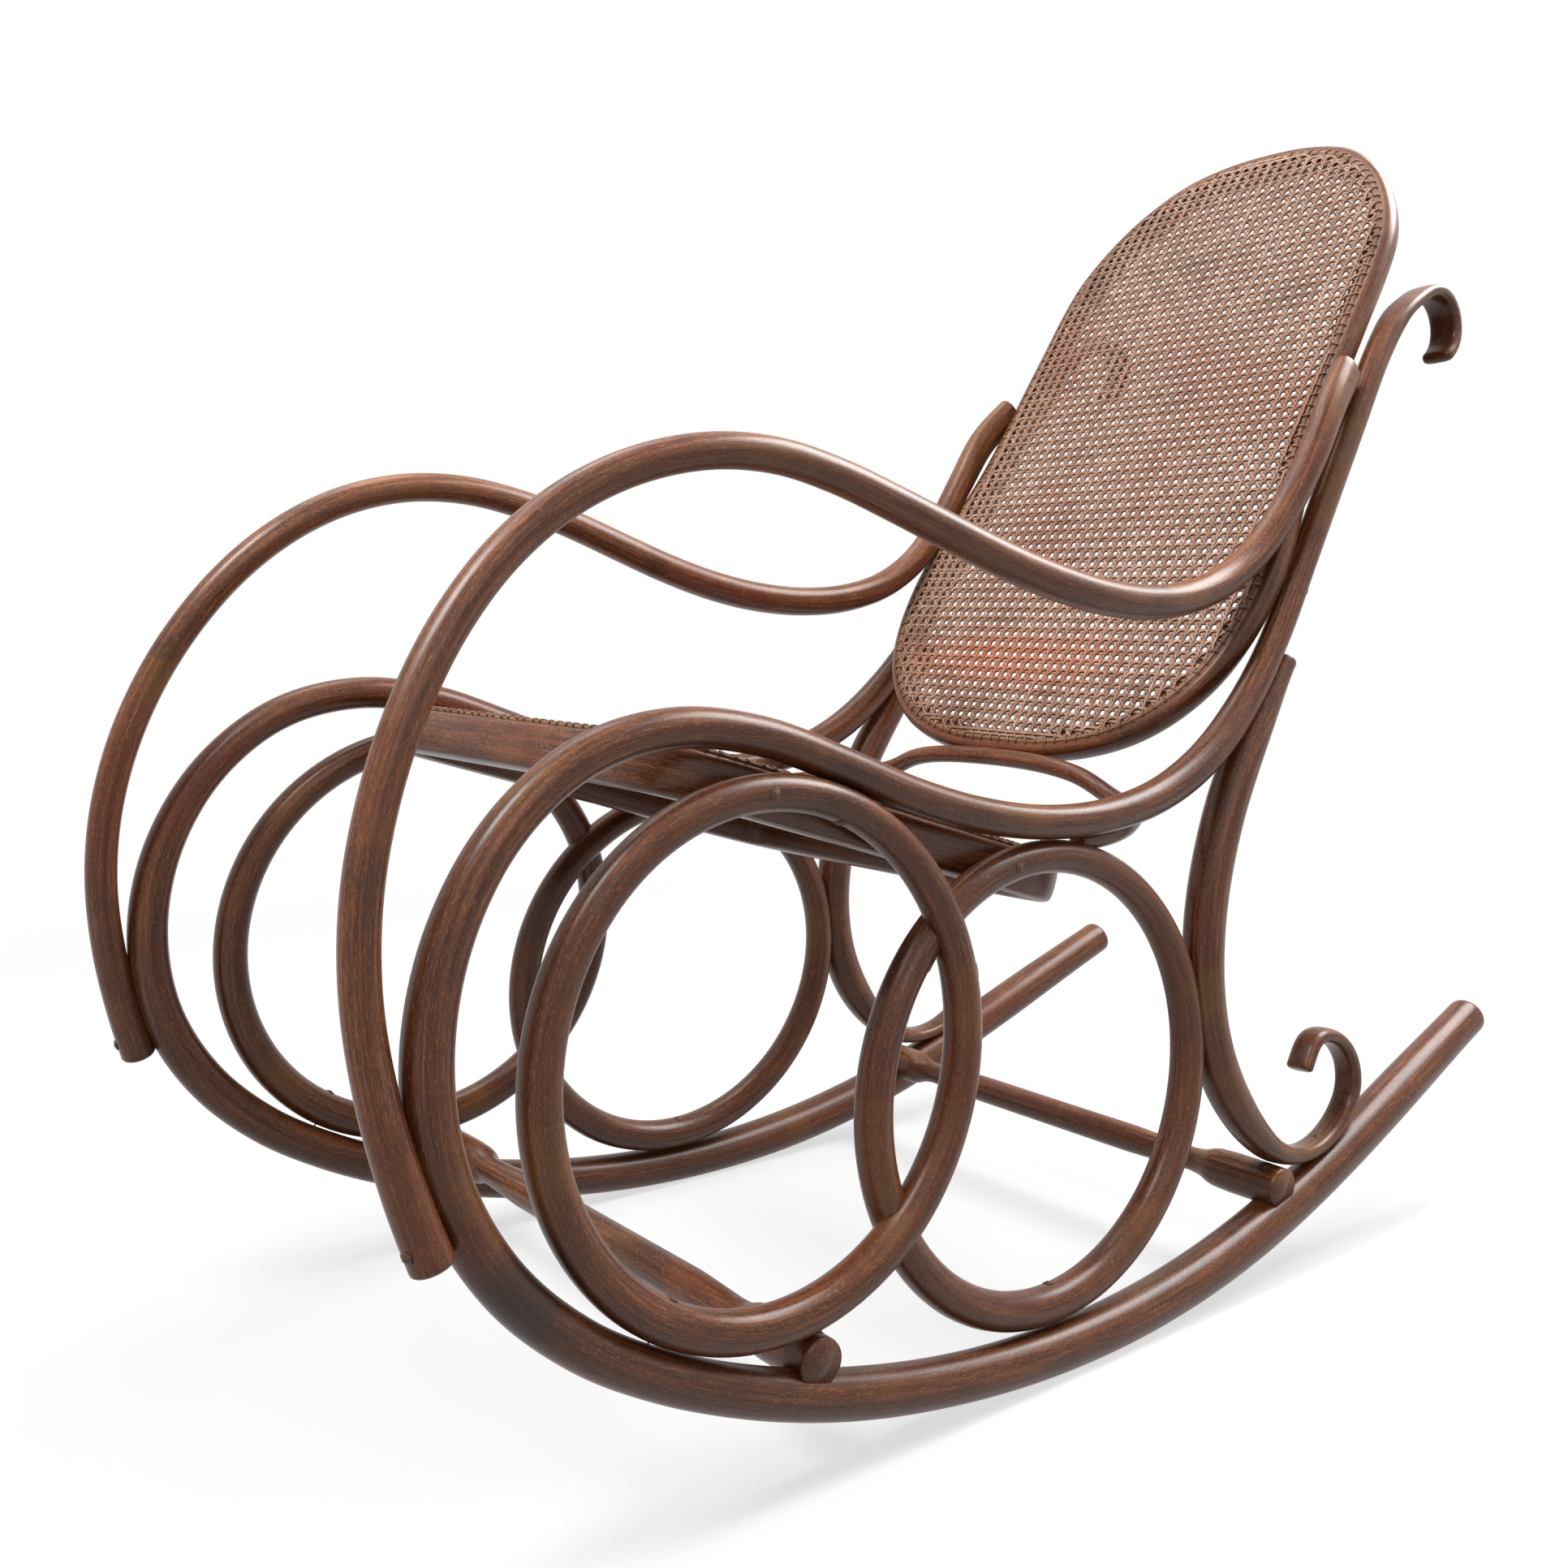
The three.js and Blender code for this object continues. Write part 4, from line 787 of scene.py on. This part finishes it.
backOutline = wholeOutline(back["outline"]) * [back["halfWidth"], back["height"]]
railSection = rounded(np.array(back["section"]) * back["rail"])
backWay = (back["tilt"], back["place"], True)
piece = makePiece("back_rail", [bandGrid(backOutline, 0, railSection, backWay)], "dark_beech",
                  grainShift["back_rail"])
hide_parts("back_frame")
canedPanel("back", backOutline, 0, back, backWay)

# the seat's half width changes evenly along its depth
seatOutline = wholeOutline(seat["outline"])
seatOutline = np.roll(seatOutline, len(seatOutline) // 2, axis=0)  # its joint is at the rear
share = (seatOutline[:, 1] - seat["frontShare"]) / (seat["rearShare"] - seat["frontShare"])
halfWidth = seat["frontHalf"] + (seat["rearHalf"] - seat["frontHalf"]) * share
seatOutline = seatOutline * np.stack([halfWidth, np.full(len(halfWidth), seat["depth"])], 1)
half, high, bevel = seat["width"] / 2, seat["height"], seat["rounding"]
bandSection = rounded([
    [-high, -half + bevel], [-high + bevel, -half], [-bevel, -half], [0, -half + bevel],
    [0, half - bevel], [-bevel, half], [-high + bevel, half], [-high, half - bevel],
])
seatWay = (seat["slope"], seat["place"], False)
piece = makePiece("seat_band", [bandGrid(seatOutline, half, bandSection, seatWay)], "dark_beech",
                  grainShift["seat_band"])
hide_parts("seat_ring")
canedPanel("seat", seatOutline, half, seat, seatWay)


hoop = {
    "path": [
        [-223.8, 12, 397.4], [-221.4, 51.7, 399], [-206.3, 92.5, 401.6], [-178.5, 131.1, 406.3],
        [-137.9, 148, 415.5], [-107.6, 148.1, 428.1], [-71.9, 147.5, 434.7], [0, 151.5, 437.1],
        [71.9, 147.5, 434.7], [107.6, 148.1, 428.1], [137.9, 148, 415.5], [178.5, 131.1, 406.3],
        [206.3, 92.5, 401.6], [221.4, 51.7, 399], [223.8, 12, 397.4],
    ],
    "sizes": [[0, 16, 16, 1], [14, 16, 16, 1]],
    "across": (0, 0, 1), "fullness": 1.0, "spacing": 5.0, "sides": 20, "endRound": 1.5,
}
# Stretchers: the middle's thickness starts at fullEnd, a share of the way to the end. The
# barrel's outline is in shares of its length, from the end, and of its diameter.
stretchers = {
    "front_stretcher": {"y": -278.9, "z": 85.1, "end": 270.7, "waist": 23, "middle": 28.5,
                        "fullEnd": 0.46},
    "rear_stretcher": {"y": 241.5, "z": 79.3, "end": 262.6, "waist": 21, "middle": 26,
                       "fullEnd": 0.38},
}
barrel = {"diameter": 35, "length": 82, "waistEnd": 94, "rows": 40, "rodRows": 14, "smoothed": 2,
          "sides": 32,
          "outline": [[0, 0.95], [0.03, 0.99], [0.25, 1.01], [0.60, 1.02], [0.86, 0.96], [1.00, 0.68]]}

piece = makePiece("rear_hoop_rod", [rodGrid(hoop)], "dark_beech", grainShift["hoop"])
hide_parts("rear_hoop")


# A turned rod: a radius for each place across the chair, round a level axis. The barrel's
# radii are each the mean of their neighbours', two to either side.
def stretcherGrid(one):
    end, rows, sides, reach = one["end"], barrel["rows"], barrel["sides"], barrel["smoothed"]
    half = [(end - share * barrel["length"], wide * barrel["diameter"] / 2)
            for share, wide in barrel["outline"]]
    half += [(end - barrel["waistEnd"], one["waist"] / 2), (end * one["fullEnd"], one["middle"] / 2)]
    places, radii = (np.array(column) for column in zip(*half))
    inner = np.concatenate([end - np.linspace(0, barrel["waistEnd"], rows),
                            np.linspace(end - barrel["waistEnd"], 0, barrel["rodRows"])[1:]])
    radius = np.interp(-inner, -places, radii)
    weights = np.full(2 * reach + 1, 1 / (2 * reach + 1))
    smooth = np.convolve(np.pad(radius, reach, "edge"), weights, "valid")
    radius[reach:rows - 1] = smooth[reach:rows - 1]
    across = np.concatenate([inner, -inner[-2::-1]])[::-1]
    radius = np.concatenate([radius, radius[-2::-1]])[::-1]
    turn = (np.arange(sides) + 0.5) / sides * 2 * np.pi
    corners = radius[:, None, None] * np.stack([np.cos(turn), np.sin(turn)], 1)
    path = np.stack([across, np.full(len(across), one["y"]), np.full(len(across), one["z"])], 1)
    heading = np.broadcast_to([1.0, 0.0, 0.0], path.shape)
    return swept(path, heading, (0, 0, 1), corners), corners, across - across[0], False


for number, (name, one) in enumerate(stretchers.items()):
    shift = grainShift["stretchers"] + grainShift["nextStretcher"] * number
    piece = makePiece(name + "_turned", [stretcherGrid(one)], "dark_beech", shift)
    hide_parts(name)
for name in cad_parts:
    if name.endswith("_screw"):
        node = bpy.data.objects[name]
        node.data.materials.clear()
        node.data.materials.append(finishes["screw_steel"])
print("hoop, stretchers and screws ready")


studio = {"floor": 16.0, "fade": (0.9, 2.2), "veil": 0.66, "pale": (0.90, 0.90, 0.90),
          "bounce": (0.10, 0.09, 0.08), "roughness": 0.9, "specular": 0.1, "around": 0.17,
          "aim": (0, 0, 0.45)}
camera = {"place": (1.039, -0.917, 0.583), "pitch": 83.39, "heading": 51.73, "lens": 36.8, "sensor": 36}


# What the camera and mirror-like surfaces see: 1 for their rays, 0 for the light's own.
def shownRay(finish):
    return finish.ray("Is Camera Ray") + finish.ray("Is Glossy Ray") + finish.ray("Is Transmission Ray")


# The floor is pale where it is seen, and less so to the light that bounces off it. A white
# veil lightens its shadow, and thickens to plain white with distance from the chair.
def floorFinish():
    finish = Finish(bpy.data.materials.new("floor"))
    shown = shownRay(finish)
    veil = finish.mask(finish.length(finish.place()), *studio["fade"])
    veil = veil * (1 - studio["veil"]) + studio["veil"]
    colour = finish.mixed(shown, studio["bounce"], studio["pale"])
    finish.shade({"Base Color": colour, "Roughness": studio["roughness"],
                  "Specular IOR Level": studio["specular"]})
    plain = finish.node("ShaderNodeEmission", {}, {"Color": (1, 1, 1), "Strength": 1.0})
    surface = Wire(finish, finish.tree.nodes["Principled BSDF"].outputs[0])
    seen = finish.node("ShaderNodeMixShader", {}, {0: shown * veil, 1: surface, 2: plain})
    finish.put(finish.tree.nodes["Material Output"].inputs[0], seen)
    return finish.owner


size = studio["floor"] / 2
mesh = bpy.data.meshes.new("floor")
mesh.from_pydata([(-size, -size, 0), (size, -size, 0), (size, size, 0), (-size, size, 0)], [],
                 [(0, 1, 2, 3)])
mesh.materials.append(floorFinish())
floor = addObject("floor", mesh)

sky = Finish(bpy.data.worlds.new("studio"))
bpy.context.scene.world = sky.owner
level = shownRay(sky) * (1 - studio["around"]) + studio["around"]
sky.shade({"Color": (1, 1, 1), "Strength": level}, "Background")

lamps = {
    "key": {"place": (0.1, -1.6, 2.7), "size": 0.9, "power": 66},
    "rear": {"place": (0.5, 1.6, 2.2), "size": 1.3, "power": 78},
    "top": {"place": (-0.9, -0.1, 2.8), "size": 1.2, "power": 18},
    "fill": {"place": (2.4, -0.6, 1.9), "size": 1.4, "power": 8},
}
for name, lamp in lamps.items():
    light = bpy.data.lights.new(name, "AREA")
    light.energy = lamp["power"]
    light.size = lamp["size"]
    holder = addObject(name, light)
    holder.location = lamp["place"]
    x, y, z = np.array(studio["aim"]) - lamp["place"]
    holder.rotation_euler = (np.arctan2(np.hypot(x, y), -z), 0, np.arctan2(-x, y))

view = bpy.data.cameras.new("camera")
view.lens = camera["lens"]
view.sensor_width = camera["sensor"]
eye = addObject("camera", view)
eye.location = camera["place"]
eye.rotation_euler = np.radians([camera["pitch"], 0, camera["heading"]])
bpy.context.scene.camera = eye
bpy.context.scene.view_settings.view_transform = "Standard"
print("studio ready")
